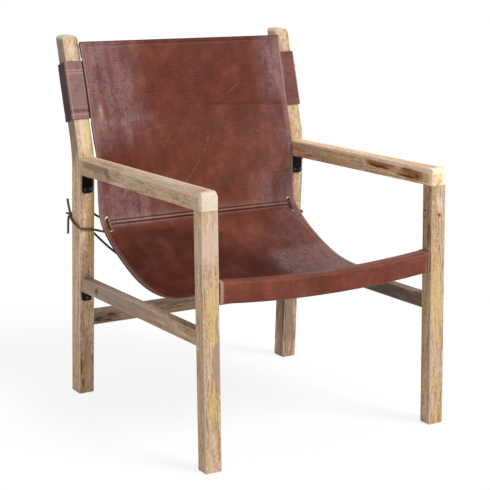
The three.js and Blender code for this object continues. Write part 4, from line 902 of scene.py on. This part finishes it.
def sling_rows():
    """Rows down the sheet: place, normal, middle drop, back hollow, and distance from the top."""
    count = ceil(face_length / ROW_STEP)
    reaches = [face_length * step / count for step in range(count + 1)]
    reaches = [reach for reach in reaches if abs(reach - tuck_reach) > 0.016 and reach > 0.014]
    reaches += [tuck_reach + step * 0.0008 for step in range(-19, 20)]
    reaches += [0, 0.0006, 0.0015, 0.004, 0.007, 0.009, 0.0098, 0.0106, 0.012]
    rows = []
    for reach in sorted(reaches):
        seat = max(0, (reach - tuck_reach) / (face_length - tuck_reach))
        back = max(0, (tuck_reach - reach) / tuck_reach)
        drop = RAIL_DISH * ease(seat, 0.05, 0.7) + SEAT_BELLY * sin(pi * seat) ** 2
        rows.append((*on_sling(reach), drop, BACK_HOLLOW * sin(pi * back) ** 2, reach))
    radius = RAIL_CORNER + sleeve_gap
    front, rear = rail_face - sleeve_gap + radius, rail_face + RAIL_DEPTH + sleeve_gap - radius
    top, bottom = RAIL_TOP + sleeve_gap - radius, RAIL_TOP - RAIL_HEIGHT - sleeve_gap + radius
    corners = [(rear, top, pi / 4, pi / 4, 4), (front, top, pi / 2, pi / 2, 8),
               (front, bottom, pi, pi / 2, 8), (rear, bottom, 1.5 * pi, pi / 4, 4)]
    sleeve = []
    for across, up, start, sweep, steps in corners:
        for step in range(steps + 1):
            angle = start + sweep * step / steps
            normal = Vector((cos(angle), sin(angle)))
            sleeve.append((Vector((across, up)) + normal * radius, normal))
        if up == top and across == rear:
            place, normal = sleeve[-1]
            after = Vector((front, top + radius))
            flat = int((after - place).length / ROW_STEP)
            sleeve += [(place.lerp(after, part / (flat + 1)), normal) for part in range(1, flat + 1)]
    for step in range(LAP_ROWS):
        place, normal = on_sling(face_length - LAP_START - SLEEVE_LAP * step / (LAP_ROWS - 1))
        sleeve.append((place - normal * (2 * LEATHER + JOINT_GAP), -normal))
    for place, normal in sleeve:
        rows.append((place, normal, RAIL_DISH, 0, rows[-1][4] + (place - rows[-1][0]).length))
    return rows


def tuck_ridge(distance):
    """Height of the sewn pleat across the sling: a groove, a round ridge, the seam and a thin welt."""
    mm = distance / MM
    ridge = 3.0 * ease(mm, -6.4, -4.4) * ease(mm, 3.0, 0.2) + 1.5 * ease(mm, 4.0, 5.6) * ease(mm, 12, 7)
    return (ridge - 1.2 * bell(mm, -7.2, 1.4) - 1.1 * bell(mm, 3.6, 1.2)) * MM


def hem_height(distance):
    """Height of a rolled hem over the sheet's face, by the distance from the edge."""
    mm = distance / MM
    if mm < 10.2:
        return (0.15 - 0.9 * (1 - sin(pi * min(1, max(0, (mm + 2.5) / 12.7))) ** 0.6)) * MM
    return (-0.75 - 0.35 * bell(mm, 10.9, 0.7)) * MM


edge_steps = [0, 0.0005, 0.0015, 0.003, 0.0045, 0.006, 0.0075, 0.009, 0.0098, 0.0105, 0.0109, 0.0114, HEM]
columns = [step - SLING_HALF for step in edge_steps] + [(HEM - SLING_HALF) * (1 - step / 34) for step in range(1, 34)]
columns += [0] + [-x for x in reversed(columns)]
rows = sling_rows()


def hide_place(x, row):
    """Where a point of the sheet lies: on its row's curve, with its hems, pleat, dish and ripples."""
    place, normal, drop, hollow, reach = row
    edge = SLING_HALF - abs(x)
    distance = reach - tuck_reach
    waves = 0.9 * ripple(x * 16, reach * 9, 3.1) + 0.35 * ripple(x * 45, reach * 22, 8.7)
    waves += 0.9 * exp(-abs(distance) / 0.035) * ripple(x * 70, reach * 8, 1.7)
    waves *= ease(edge, 0, 0.03) * ease(face_length - reach, -0.004, 0.03) * ease(reach, 0, 0.03)
    bend = 0.9 * ease(x, -0.02, 0.06) * bell(reach - 0.05 * x, 0.166, 0.0022)
    rise = hem_height(min(edge, reach + 0.0005)) + tuck_ridge(distance) * ease(abs(x), 0.256, 0.249)
    rise += (waves - bend) * MM
    near_top = ease(reach, 0.1, 0)
    height = place.y + normal.y * rise - drop * dish(x) - TOP_TILT * x / SLING_HALF * near_top
    depth = place.x + normal.x * rise + hollow * max(0, 1 - (x / 0.258) ** 2)
    return Vector((x * (1 + TOP_FLARE / SLING_HALF * near_top), depth, height))


def painted_sheen_amount(x, reach):
    """How much painted sheen lies on the sheet: most where it bends round the posts and the rail."""
    streak = 0.62 + 0.75 * ripple(x * 55, reach * 12, 4.4)
    patch = 0.5 + 0.9 * ripple(x * 20, reach * 20, 9.1)
    left = 1.3 * ease(x, -0.10, -0.19) * ease(reach, 0.30, 0.20)
    left += 1.7 * ease(x, -0.05, -0.205) * ease(reach, 0.32, 0.38)
    right = ease(x, 0.19, 0.235) * (0.85 * ease(reach, 0.17, 0.13) + 0.3) + 0.5 * ease(x, 0.255, 0.266)
    right += ease(reach, 0.17, 0.26) * (0.35 * ease(x, 0.08, 0.20) + 1.1 * ease(x, 0.262, 0.268))
    right += 0.8 * ease(reach, 0.33, 0.41) * ease(x, 0.12, 0.20)
    back = (left + right) * ease(reach, 0.455, 0.44)
    glints = 0.9 * bell(x - 0.06 * (reach - 0.15), -0.253, 0.006) * near(reach, 0.185, 0.035, 0.012)
    glints += 0.8 * bell(x, -0.250, 0.008) * near(reach, 0.035, 0.032, 0.01)
    glints += 0.7 * bell(x, 0.243, 0.008) * near(reach, 0.085, 0.07, 0.03)
    fold = 0.5 * bell(reach + 0.1 * (x + 0.2), 0.196, 0.012) * ease(x, -0.08, -0.15)
    seat = 0.55 * ease(reach, 0.46, 0.52) * ease(x, 0.05, 0.20)
    seat += 1.1 * ease(reach, 0.575, 0.612) * ease(x, 0.08, 0.15)
    seat += 0.9 * ease(reach, 0.52, 0.46) * ease(reach, 0.45, 0.455) * ease(x, 0.17, 0.23)
    seat *= ease(reach, 0.99, 0.97)
    rim = near(reach, 0.972, 0.030, 0.006) * (0.7 + 0.9 * ease(x, -0.12, 0.08))
    return min(1.2, max(0, back * streak + (glints + fold) * (0.5 + patch) + (seat + rim) * (0.5 + 0.5 * streak)))


def hollow_painted_shade(x, reach):
    """How much painted shade makes the seat's hollow darker."""
    middle = -0.01 + 1.1 * (reach - 0.5)
    return ease(x, middle + 0.055, middle - 0.07) * ease(reach, 0.452, 0.482) * ease(reach, 0.95, 0.90)


def glint(x, reach):
    """Three bright painted highlights where the sheet is strained beside the loops."""
    low = bell(x - 0.07 * (reach - 0.16), -0.252, 0.0045) * near(reach, 0.172, 0.032, 0.012)
    high = bell(x, -0.255, 0.005) * near(reach, 0.032, 0.024, 0.006)
    far = bell(x, 0.262, 0.003) * near(reach, 0.095, 0.085, 0.05)
    return (low + 0.7 * high + 0.7 * far) * (0.75 + 0.7 * ripple(x * 90, reach * 60, 5.5))


def painted_light_lift(x, reach):
    """How much painted light lifts the hide: in the small of the back, in patches over the seat and on the seat's front
    edge.
    """
    back = ease(reach, 0.20, 0.33) * ease(reach, 0.452, 0.43) * ease(x, -0.22, -0.08)
    back *= 1 + 0.35 * ease(x, -0.02, 0.10)
    seat = 0.4 * ease(reach, 0.45, 0.47) * ease(reach, 0.57, 0.53) * ease(x, -0.02, 0.07)
    scuff = ripple(x * 24, reach * 15, 6.2) + 0.5 * ripple(x * 60, reach * 40, 1.2)
    seat += 0.8 * max(0, scuff) * ease(reach, 0.46, 0.50) * ease(reach, 0.96, 0.93)
    band = ease(reach, 0.955, 0.985) * (0.65 + 0.6 * ease(x, -0.02, 0.14))
    return (back + seat + band) * (0.8 + 0.6 * ripple(x * 14, reach * 14, 2.6))


def lay_sheet(name, width, spots):
    """A grid of hide. A spot is a vertex's place, its place on the flat hide, and its tones."""
    bpy.ops.object.select_all(action="DESELECT")
    bpy.ops.mesh.primitive_grid_add(x_subdivisions=width - 1, y_subdivisions=len(spots) // width - 1, size=1)
    sheet = bpy.context.object
    sheet.name = name
    mesh = sheet.data
    places, flats, tones = zip(*spots)
    mesh.vertices.foreach_set("co", [part for place in places for part in place])
    for tone, values in zip(TONES, zip(*tones)):
        layer = mesh.attributes.new(tone, "FLOAT", "POINT")
        layer.data.foreach_set("value", [min(MOST_TONE, max(0, value)) for value in values])
    for loop in mesh.loops:
        mesh.uv_layers[0].data[loop.index].uv = flats[loop.vertex_index]
    mesh.update()
    return sheet


spots = []
for row in reversed(rows):
    reach = row[4]
    distance = reach - tuck_reach
    pleat = bell(distance, -0.0072, 0.0016) + bell(distance, 0.0036, 0.0014)
    ridge = bell(distance, -0.0022, 0.0016) + 0.7 * bell(distance, 0.0066, 0.0012)
    # Where the hem's outer light line lies, and how much painted sheen the hem gets, on the back and on the seat.
    brow, hem_sheen = (0.0022, 0.4) if reach < tuck_reach else (0.0040, 0.1)
    for x in columns:
        edge = SLING_HALF - abs(x)
        across = ease(abs(x), 0.256, 0.249)
        gutter = bell(reach, 0.0109, 0.0008) * ease(edge, 0.010, 0.0125)
        bend = bell(reach - 0.05 * x, 0.166, 0.002) * ease(x, -0.02, 0.06)
        rim = ease(edge, 0.0022, 0.0008) * ease(reach, 0.44, 0.47)
        hem = ease(edge, 0.0112, 0.010) * ease(reach, 0.004, 0.012)
        # Painted shade: makes the tuck's grooves, the top edge, the top hem's groove, a fold line across the back's
        # right part, the seat's side edges and a line on the sleeve darker.
        crease = 0.95 * pleat * across + 0.8 * ease(reach, 0.0024, 0.001) + 0.2 * gutter + 0.4 * bend + 0.8 * rim
        crease += 0.35 * bell(reach, face_length + 0.085, 0.003)
        # Painted highlights: light lines along the hems and on the tuck's ridge, and the glints.
        lines = 0.75 * bell(edge, 0.0109, 0.0009) + 0.9 * bell(edge, brow, 0.0011)
        if x < 0:
            lines += 0.8 * ease(edge, 0.0022, 0.0035) * ease(edge, 0.0110, 0.0095) * ease(reach, 0.962, 0.975)
        worn = lines * ease(reach, 0.002, 0.01) * (1 if x < 0 else 1.3) + 0.5 * ridge * across + glint(x, reach)
        spots.append((hide_place(x, row), (x, reach), (crease, worn, painted_sheen_amount(x, reach) + hem_sheen * hem,
                                                       hollow_painted_shade(x, reach), painted_light_lift(x, reach))))
sling = lay_sheet("leather_sling", len(columns), spots)

# Scratches in the hide: start and end across and down the sheet, width and strength
SCRATCHES = [((-0.070, 0.237), (-0.100, 0.272), 0.0022, 0.35), ((0.037, 0.246), (0.018, 0.287), 0.0024, 0.55),
             ((0.004, 0.306), (-0.034, 0.356), 0.0024, 0.6), ((0.13, 0.357), (0.246, 0.348), 0.0018, 0.35),
             ((0.142, 0.120), (0.114, 0.140), 0.0024, 0.5), ((0.05, 0.380), (0.062, 0.341), 0.0016, 0.3),
             ((-0.19, 0.235), (-0.10, 0.215), 0.0018, 0.25), ((0.21, 0.330), (0.236, 0.352), 0.0018, 0.35),
             ((-0.15, 0.12), (-0.135, 0.165), 0.0016, 0.3), ((0.10, 0.055), (0.075, 0.085), 0.0016, 0.25)]
# A pale colour for the real scratches and for the painted highlights.
PALE_SCRATCH_AND_HIGHLIGHT = "#B58F83"
NODES["flat"] = ("UVMap", {}, (), 0)
NODES["cells"] = ("TexVoronoi", {"feature": "DISTANCE_TO_EDGE"}, ("Vector", "Scale"), 0)
NODES["clamp"] = ("Clamp", {}, ("Value", "Max"), 0)


def cowhide():
    """Waxed cowhide, drum dyed and buffed: cloudy red brown and pebbled, with painted sheen at bends, and painted
    highlights, painted shade and painted light from the tones.

    The pebbles are 1.6 mm across, coarser than the real grain, so that they show.
    """
    paint = new_material("waxed_red_brown_cowhide")
    sheet = paint.add("flat")
    colour = paint.add("ramp", paint.add("noise", sheet, 17, 5, Roughness=0.6),
                        (0.3, "#5E281B"), (0.45, "#6B3020"), (0.56, "#753624"), (0.7, "#854631"))
    streak = paint.add("noise", paint.add("mapped", sheet, (26, 9, 1), (0, 0, 0.25)), 1, 6, 1.4, Roughness=0.6)
    colour = paint.add("mix", "OVERLAY", 0.34, colour, paint.add("ramp", streak, (0.3, "#4C4C4C"), (0.7, "#B8B8B8")))
    pebbles = paint.add("step", paint.add("cells", sheet, 1000 / 1.6), 0, 0.22)
    plies = paint.add("step", paint.add("noise", paint.add("mapped", sheet, (32, 360, 1), (0, 0, 0.04)), 1, 3, 0.8),
                      0.52, 0.66)
    colour = paint.layer("MULTIPLY", colour, plies, 0.3, "#8A6A60")
    warp = paint.add("noise", sheet, 40, 2, out="Color")
    bent = paint.add("vector", "MULTIPLY_ADD", warp, (0.012, 0.012, 0), sheet)
    wrinkles = paint.add("step", paint.add("cells", bent, 1000 / 14), 0, 0.06)
    colour = paint.layer("MULTIPLY", colour, paint.add("maths", "SUBTRACT", 1, wrinkles), 0.14, "#5A342A")
    crease, worn, bloom, dark, pale = [paint.add("tone", tone) for tone in TONES]
    # Painted shade: the seat's hollow and the loops' outsides are made darker.
    colour = paint.add("mix", "MULTIPLY", dark, colour, "#B9A8A4")
    # Painted light: lifts the colour in the small of the back, on the seat and on the front band.
    colour = paint.add("mix", "ADD", pale, colour, "#3E2B23")
    sheen_break = paint.add("noise", paint.add("mapped", sheet, (150, 60, 1), (0, 0, 0.5)), 1, 4, 0.8)
    sheen_cover = paint.add("maths", "MULTIPLY", bloom, paint.add("step", sheen_break, 0.12, 0.66))
    sheen_cover = paint.add("maths", "MULTIPLY", sheen_cover, paint.add("step", plies, 2.6, -0.2))
    # Painted sheen: a pale greyish veil added on top, broken by streaks.
    colour = paint.add("mix", "ADD", sheen_cover, colour, "#59555A")
    broken = paint.add("step", paint.add("noise", sheet, 220, 3), 0.36, 0.6)
    for start, end, width, strength in SCRATCHES:
        start, end = Vector((*start, 0)), Vector((*end, 0))
        along = (end - start).normalized()
        away = paint.add("vector", "SUBTRACT", sheet, start)
        far = paint.add("vector", "DOT_PRODUCT", away, along, out="Value")
        held = paint.add("clamp", far, (end - start).length)
        foot = paint.add("vector", "SCALE", along, Scale=held)
        off = paint.add("vector", "DISTANCE", away, foot, out="Value")
        cover = paint.add("maths", "MULTIPLY", paint.add("step", off, width, 0), broken)
        colour = paint.layer("MIX", colour, cover, 0.55 * strength, PALE_SCRATCH_AND_HIGHLIGHT)
    # Painted shade in the creases, grooves and along the edges.
    colour = paint.layer("MULTIPLY", colour, crease, 0.9, "#4A2019")
    # Painted highlights.
    colour = paint.layer("MIX", colour, worn, 0.7, PALE_SCRATCH_AND_HIGHLIGHT)
    bump = paint.add("bump", pebbles, 0.28, 0.16 * MM)
    bump = paint.add("bump", wrinkles, 0.3, 0.3 * MM, Normal=bump)
    bump = paint.add("bump", paint.add("noise", sheet, 1400, 2), 0.2, 0.08 * MM, Normal=bump)
    return paint.done({"Base Color": colour, "Normal": bump, "Roughness": paint.add("spread", streak, 0.34, 0.54),
                       "IOR": 1.45, "Specular IOR Level": 0.16})


def flesh_side():
    """The flesh side of the hide: matt, fibrous and a duller brown."""
    paint = new_material("suede_flesh_side_of_cowhide")
    nap = paint.add("noise", paint.add("flat"), 28, 9, Roughness=0.72)
    colour = paint.add("ramp", nap, (0.3, "#4C2F24"), (0.5, "#6E4A3A"), (0.7, "#936B57"))
    return paint.done({"Base Color": colour, "Normal": paint.add("bump", nap, 0.5, 0.25 * MM), "Roughness": 0.9,
                       "Sheen Weight": 0.25})


def edge_dye():
    """The cut edges of the leather, dyed dark and burnished smooth."""
    paint = new_material("dyed_burnished_leather_edge")
    colour = paint.add("ramp", paint.add("noise", paint.add("place"), 150, 2), (0.3, "#231411"), (0.7, "#45291F"))
    return paint.done({"Base Color": colour, "Roughness": 0.5})


HIDE = (cowhide(), flesh_side(), edge_dye())


def thicken(sheet, thickness, offset):
    """Gives a strip of hide its thickness: the grain outside, the flesh inside, dyed cut edges."""
    for material in HIDE:
        sheet.data.materials.append(material)
    apply_modifier(sheet, "SOLIDIFY", thickness=thickness, offset=offset, use_even_offset=True,
                   material_offset=1, material_offset_rim=2)
    bpy.ops.object.shade_smooth_by_angle(angle=radians(45))


thicken(sling, VISIBLE_LEATHER, -1)
# The side hems are folded back and sewn down. The fold stands off where the sheet is free of the loops.
grid_size = len(spots)
for mark in range(grid_size):
    number, column = divmod(mark, len(columns))
    _, normal, _, _, reach = rows[len(rows) - 1 - number]
    edge = SLING_HALF - abs(columns[column])
    free = ease(reach, 0.042, 0.034) + ease(reach, 0.186, 0.194)
    fold = ease(edge, 0.0115, 0.0095) * ease(reach, 0.27, 0.24) * ease(reach, 0, 0.004)
    inside = sling.data.vertices[grid_size + mark]
    inside.co -= Vector((0, *normal)) * fold * (HEM_STANDOFF + FREE_HEM_STANDOFF * free)
for polygon in sling.data.polygons:
    if polygon.material_index == 1 and abs(polygon.center.x) > SLING_HALF - HEM:
        polygon.material_index = 0

# The holes that the lace goes through, punched where the eyelets are set
EYELET_ACROSS = 0.260
EYELET_HOLE = 0.0032
EYELET_WALL = 0.0006
PUNCH_LENGTH = 0.016
EYELET_MIDDLES = {"upper": (-19.6, 442.6, (0, -0.893, 0.451)), "lower": (-39.0, 419.1, (0, -0.658, 0.753))}


def eyelet_frame(side, place):
    """The matrix that takes an upright eyelet at the origin to its place in the sling."""
    depth, height, normal = EYELET_MIDDLES[place]
    turn = Vector((0, 0, 1)).rotation_difference(Vector(normal)).to_matrix().to_4x4()
    return Matrix.Translation((side * EYELET_ACROSS, depth * MM + MIDDLE_Y, height * MM)) @ turn


punches = []
for side, _ in SIDES:
    for place in EYELET_MIDDLES:
        bpy.ops.object.select_all(action="DESELECT")
        bpy.ops.mesh.primitive_cylinder_add(vertices=32, radius=EYELET_HOLE + EYELET_WALL / 2, depth=PUNCH_LENGTH)
        punches.append(bpy.context.object)
        punches[-1].data.transform(eyelet_frame(side, place))
for punch in punches:
    punch.select_set(True)
bpy.context.view_layer.objects.active = punches[0]
bpy.ops.object.join()
cut_away(sling, bpy.context.object)

# Stitches
# Waxed polyester thread, sewn by machine down both hems, along the top and through the tuck. Each
# stitch is a short round grain of thread pressed into the leather.
STITCH_PITCH = 0.0052
STITCH_LENGTH = 0.0041
THREAD = 0.0008
THREAD_RISE = THREAD * 0.12
SHOULDER = 0.7
HEM_SEAM = 0.0109
HEM_SEAM_TOP = 0.011
HEM_SEAM_ENDS = 0.016
TUCK_SEAM_HALF = 0.2525
TUCK_SEAM = 0.0036


def waxed_thread(code):
    """Waxed polyester thread: a soft sheen, and colour a little uneven from the wax."""
    paint = new_material("waxed_brown_thread")
    colour = paint.add("mix", "MIX", paint.add("noise", paint.add("place"), 300, 2), hex_colour(code, 0.7), code)
    return paint.done({"Base Color": colour, "Roughness": 0.55, "Sheen Weight": 0.2})


THREAD_BROWN = waxed_thread("#8A5A46")
bpy.ops.object.select_all(action="DESELECT")
bpy.ops.mesh.primitive_cylinder_add(vertices=6, radius=THREAD / 2, depth=STITCH_LENGTH)
grain = bpy.context.object
bpy.ops.object.mode_set(mode="EDIT")
pick(grain, "FACE", lambda at, way: abs(way.z) > 0.9)
bpy.ops.mesh.inset(thickness=THREAD / 4, depth=0)
bpy.ops.object.mode_set(mode="OBJECT")
grain_shape = [vert.co.copy() for vert in grain.data.vertices]
for corner in grain_shape:
    if hypot(corner.x, corner.y) > THREAD * 0.4:
        corner.z *= SHOULDER
grain_faces = [tuple(face.vertices) for face in grain.data.polygons]
bpy.data.objects.remove(grain)


def row_at(reach):
    """The sheet's row at a distance from its top edge, between the two nearest rows."""
    for before, after in zip(rows, rows[1:]):
        if after[4] >= reach:
            share = (reach - before[4]) / max(1e-9, after[4] - before[4])
            return tuple(a + (b - a) * share for a, b in zip(before, after))
    return rows[-1]


def sew(name, points):
    """A seam of stitches along a line of (across, distance from the top), a pitch apart."""
    seam = []
    for x, reach in points:
        row = row_at(reach)
        seam.append((hide_place(x, row), Vector((0, *row[1])).normalized()))
    verts, faces = [], []
    for (place, normal), (after, _) in zip(seam, seam[1:]):
        along = (after - place).normalized()
        side = along.cross(normal).normalized()
        turn = Matrix((side, along.cross(side).normalized(), along)).transposed()
        middle = (place + after) / 2 + normal * THREAD_RISE
        first = len(verts)
        verts += [middle + turn @ corner for corner in grain_shape]
        faces += [tuple(first + corner for corner in face) for face in grain_faces]
    mesh = bpy.data.meshes.new(name)
    mesh.from_pydata(verts, [], faces)
    mesh.materials.append(THREAD_BROWN)
    mesh.polygons.foreach_set("use_smooth", [True] * len(faces))
    thread = add_object(name, mesh)
    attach(thread, "root")
    return thread


def pitches(length):
    return [STITCH_PITCH * step for step in range(int(length / STITCH_PITCH))]


hem_seam = SLING_HALF - HEM_SEAM
seams = {f"hem_stitches_{hand}": [(side * hem_seam, HEM_SEAM_TOP + down)
                                  for down in pitches(rows[-LAP_ROWS - 1][4] - HEM_SEAM_ENDS)]
         for side, hand in SIDES}
seams["top_hem_stitches"] = [(along - hem_seam, HEM_SEAM) for along in pitches(2 * hem_seam)]
seams["tuck_stitches"] = [(along - TUCK_SEAM_HALF, tuck_reach + TUCK_SEAM) for along in pitches(2 * TUCK_SEAM_HALF)]
stitches = [sew(name, points) for name, points in seams.items()]

finish_piece(sling, "leather", "sling")

# Eyelets
# Four nickel plated brass eyelets at the ends of the tuck, pressed through the leather and rolled
# over behind it. The lace goes through them.
EYELET_BARREL = 0.0032
BARREL_PLACE = (0, 0, -0.0005)
# The front rim and the rolled back: outer radius, segments, flattening and height
EYELET_RINGS = ((0.0058, 14, 0.5, 0.0011), (0.0054, 12, 0.6, -0.0021))


def nickel_plate():
    """Nickel plating on brass: bright, slightly warm, and finely scuffed by the lace."""
    paint = new_material("nickel_plated_brass")
    scuff = paint.add("noise", paint.add("place"), 700, 4)
    colour = paint.add("ramp", scuff, (0.3, "#77716A"), (0.6, "#A39E95"))
    return paint.done({"Base Color": colour, "Roughness": paint.add("spread", scuff, 0.14, 0.34), "Metallic": 1})


eyelet = add_object("eyelet", bpy.data.meshes.new("eyelet"))
activate(eyelet)
bpy.ops.object.mode_set(mode="EDIT")
for outer, segments, flattening, height in EYELET_RINGS:
    bpy.ops.mesh.select_all(action="DESELECT")
    bpy.ops.mesh.primitive_torus_add(major_segments=48, minor_segments=segments, location=(0, 0, 0),
                                     major_radius=(outer + EYELET_HOLE) / 2, minor_radius=(outer - EYELET_HOLE) / 2)
    bpy.ops.transform.resize(value=(1, 1, flattening))
    move((0, 0, height))
bpy.ops.mesh.select_all(action="DESELECT")
bpy.ops.mesh.primitive_cylinder_add(vertices=48, radius=EYELET_HOLE + EYELET_WALL, depth=EYELET_BARREL,
                                    end_fill_type="NOTHING", location=BARREL_PLACE)
extrude((0, 0, 0))
inner_share = EYELET_HOLE / (EYELET_HOLE + EYELET_WALL)
bpy.ops.transform.resize(value=(inner_share, inner_share, 1), center_override=BARREL_PLACE)
bpy.ops.object.mode_set(mode="OBJECT")
bpy.ops.object.shade_smooth_by_angle(angle=radians(40))
eyelet.data.materials.append(nickel_plate())
for side, hand in SIDES:
    for place in EYELET_MIDDLES:
        ring = add_object(f"nickel_eyelet_{hand}_{place}", eyelet.data.copy())
        ring.data.transform(eyelet_frame(side, place))
        finish_piece(ring, "nickel", f"eyelet_{hand}_{place}")
bpy.data.objects.remove(eyelet)

# Post loops
# A broad strap of the same hide goes round each raked post. Its two ends are lapped and sewn
# behind the sling's edge, and two screws hold it to the post's back.
LOOP_HIDE = 0.0028
LOOP_LAP = 0.022
LOOP_CORNER = 0.0013
LOOP_STEP = 0.0015
LOOP_ROWS = 100
LAP_ROOM = 0.0016
LAP_CLOSED = 0.0008
# The part of the hide that each loop is cut from
LOOP_CUTS = {"left": (1.1, 2), "right": (1.9, 2)}
# How strongly each loop's painted light and shade show: fold, pressed lines, lit lines, lit front, sheen and shaded
# outside; the fold and the pressed lines also shape the strap
LOOP_PAINTED_LIGHT = {"left": (1, 1, 1, 0.2, 1.5, 0.75), "right": (0.12, 0.2, 0.15, 0, 0.5, 0.3)}


def rounded_path(corners, radius, longest):
    """A polyline whose inner corners are rounded, with no stretch longer than asked."""
    corners = [Vector(corner) for corner in corners]
    path = [corners[0]]
    for before, here, after in zip(corners, corners[1:], corners[2:]):
        start = here + (before - here).normalized() * radius
        end = here + (after - here).normalized() * radius
        path += [start * (1 - t) ** 2 + here * 2 * t * (1 - t) + end * t * t for t in (0, 0.2, 0.4, 0.6, 0.8, 1)]
    path.append(corners[-1])
    fine = [path[0]]
    for before, after in zip(path, path[1:]):
        parts = max(1, ceil((after - before).length / longest))
        fine += [before.lerp(after, part / parts) for part in range(1, parts + 1)]
    return fine


gap = JOINT_GAP + LOOP_HIDE / 2
outer = POST_WIDTH / 2 + gap
inner_side = -POST_WIDTH / 2
corners = [(inner_side - LOOP_LAP, LAP_CLOSED - gap), (inner_side - 0.0035, LAP_CLOSED - gap),
           (inner_side - 0.0005, -gap), (outer, -gap), (outer, loop_depth + gap), (-outer, loop_depth + gap),
           (-outer, gap + LAP_ROOM), (inner_side - LOOP_LAP, gap + LAP_ROOM)]
path = rounded_path(corners, LOOP_CORNER, LOOP_STEP)
reaches = [0]
for before, after in zip(path, path[1:]):
    reaches.append(reaches[-1] + (after - before).length)
for side, hand in SIDES:
    folded, pressed, lit_up, lit_front, front_sheen, outside_shade = LOOP_PAINTED_LIGHT[hand]
    spots = []
    for level in [LOOP_LENGTH * step / LOOP_ROWS for step in range(LOOP_ROWS + 1)]:
        down = LOOP_LENGTH - level
        press = (bell(down, 0.0215, 0.0014) + bell(down, 0.0285, 0.0014)) * pressed
        fold = bell(level, 0.0185, 0.0042) * folded
        lit = (0.8 * bell(level, 0.0105, 0.002) + 0.4 * bell(level, 0.028, 0.0025)) * lit_up
        lip = ease(level, 0.006, 0) + ease(down, 0.006, 0)
        for column, point in enumerate(path):
            along = (path[min(column + 1, len(path) - 1)] - path[max(column - 1, 0)]).normalized()
            inset = point.x - inner_side
            over = ease(inset, -0.004, 0.004)
            swell = 0.4 * ripple(reaches[column] * 40, level * 30, side * 5) + 0.35 * lip
            rise = over * (swell - 0.5 * press - 0.5 * fold + 0.5) * MM
            spot = point + Vector((along.y, -along.x)) * rise
            place = loop_top - loop_up * down + loop_back * spot.y
            before_post = ease(point.y, gap * 2, gap)
            front = before_post * over
            outside = ease(point.y, gap * 2, gap * 4) * ease(point.y, loop_depth - gap, loop_depth - gap * 3)
            # Painted shade: the fold, the bottom edge, the lap inboard of the post and the loop's outside are made
            # darker.
            crease = 0.75 * fold * over + 0.3 * ease(down, 0.0012, 0) + 0.9 * ease(inset, -0.001, -0.002)
            sides = bell(inset, POST_WIDTH + 0.0008, 0.001) + bell(inset, 0.0026, 0.0016) * ease(down, 0.10, 0.06)
            # Painted highlights on the loop's front: pressed lines, lit lines, a lit front, the edges and the folded
            # inner edge.
            worn = (1.1 * press + lit + lit_front + 0.9 * sides) * front + 0.8 * bell(inset, -0.0036, 0.0008) * before_post
            spots.append(((side * (POST_CENTRE + spot.x), place.y, place.z),
                          (reaches[column] + LOOP_CUTS[hand][0], level + LOOP_CUTS[hand][1]),
                          (crease + outside_shade * outside, worn, front_sheen * front * (0.9 + 0.5 * swell),
                           0.9 * outside, 0)))
    strap = lay_sheet(f"post_strap_{hand}", len(path), spots)
    if side < 0:
        bpy.ops.object.mode_set(mode="EDIT")
        bpy.ops.mesh.select_all(action="SELECT")
        bpy.ops.mesh.flip_normals()
        bpy.ops.object.mode_set(mode="OBJECT")
    thicken(strap, LOOP_HIDE, 0)
    finish_piece(strap, "leather", f"post_loop_{hand}")

# Room
# A white studio: the floor is painted paper that runs out of sight, and the light is a broad soft
# lamp in front, above and to the right, with white walls all round.
WALL_LIGHT = 0.52
PAPER_GLOW = 0.84
LAMP_DIRECTION = (-0.38, 0.62, -0.69)
NODES["rays"] = ("LightPath", {}, (), 0)


def seen_white(paint):
    """1 for camera rays and glossy rays, 0 for the rays that carry light."""
    seen, glossy = [paint.add("rays", out=f"Is {kind} Ray") for kind in ("Camera", "Glossy")]
    return paint.add("maths", "MAXIMUM", seen, glossy)


def studio_paper():
    """White studio paper. It looks pure white where no shadow falls, also in bright metal."""
    paint = new_material("white_studio_paper")
    seen = seen_white(paint)
    return paint.done({"Base Color": paint.add("mix", "MIX", seen, "#F8F8F8", "#787878"), "Emission Color": "#FFFFFF",
                       "Emission Strength": paint.add("maths", "MULTIPLY", seen, PAPER_GLOW), "Roughness": 0.95,
                       "Specular IOR Level": 0})


bpy.ops.object.select_all(action="DESELECT")
bpy.ops.mesh.primitive_plane_add(size=60)
floor = bpy.context.object
floor.name = "floor"
floor.data.materials.append(studio_paper())

walls = Shading(bpy.data.worlds.new("white_studio"), "Background")
bpy.context.scene.world = walls.done({"Color": "#FFFFFF",
                                      "Strength": walls.add("spread", seen_white(walls), WALL_LIGHT, 1)})

key = bpy.data.lights.new("key_lamp", "SUN")
key.energy = 2.2
key.angle = radians(28)
add_object("key_lamp", key).rotation_euler = Vector(LAMP_DIRECTION).to_track_quat("-Z", "Y").to_euler()

bpy.context.scene.view_settings.view_transform = "Standard"
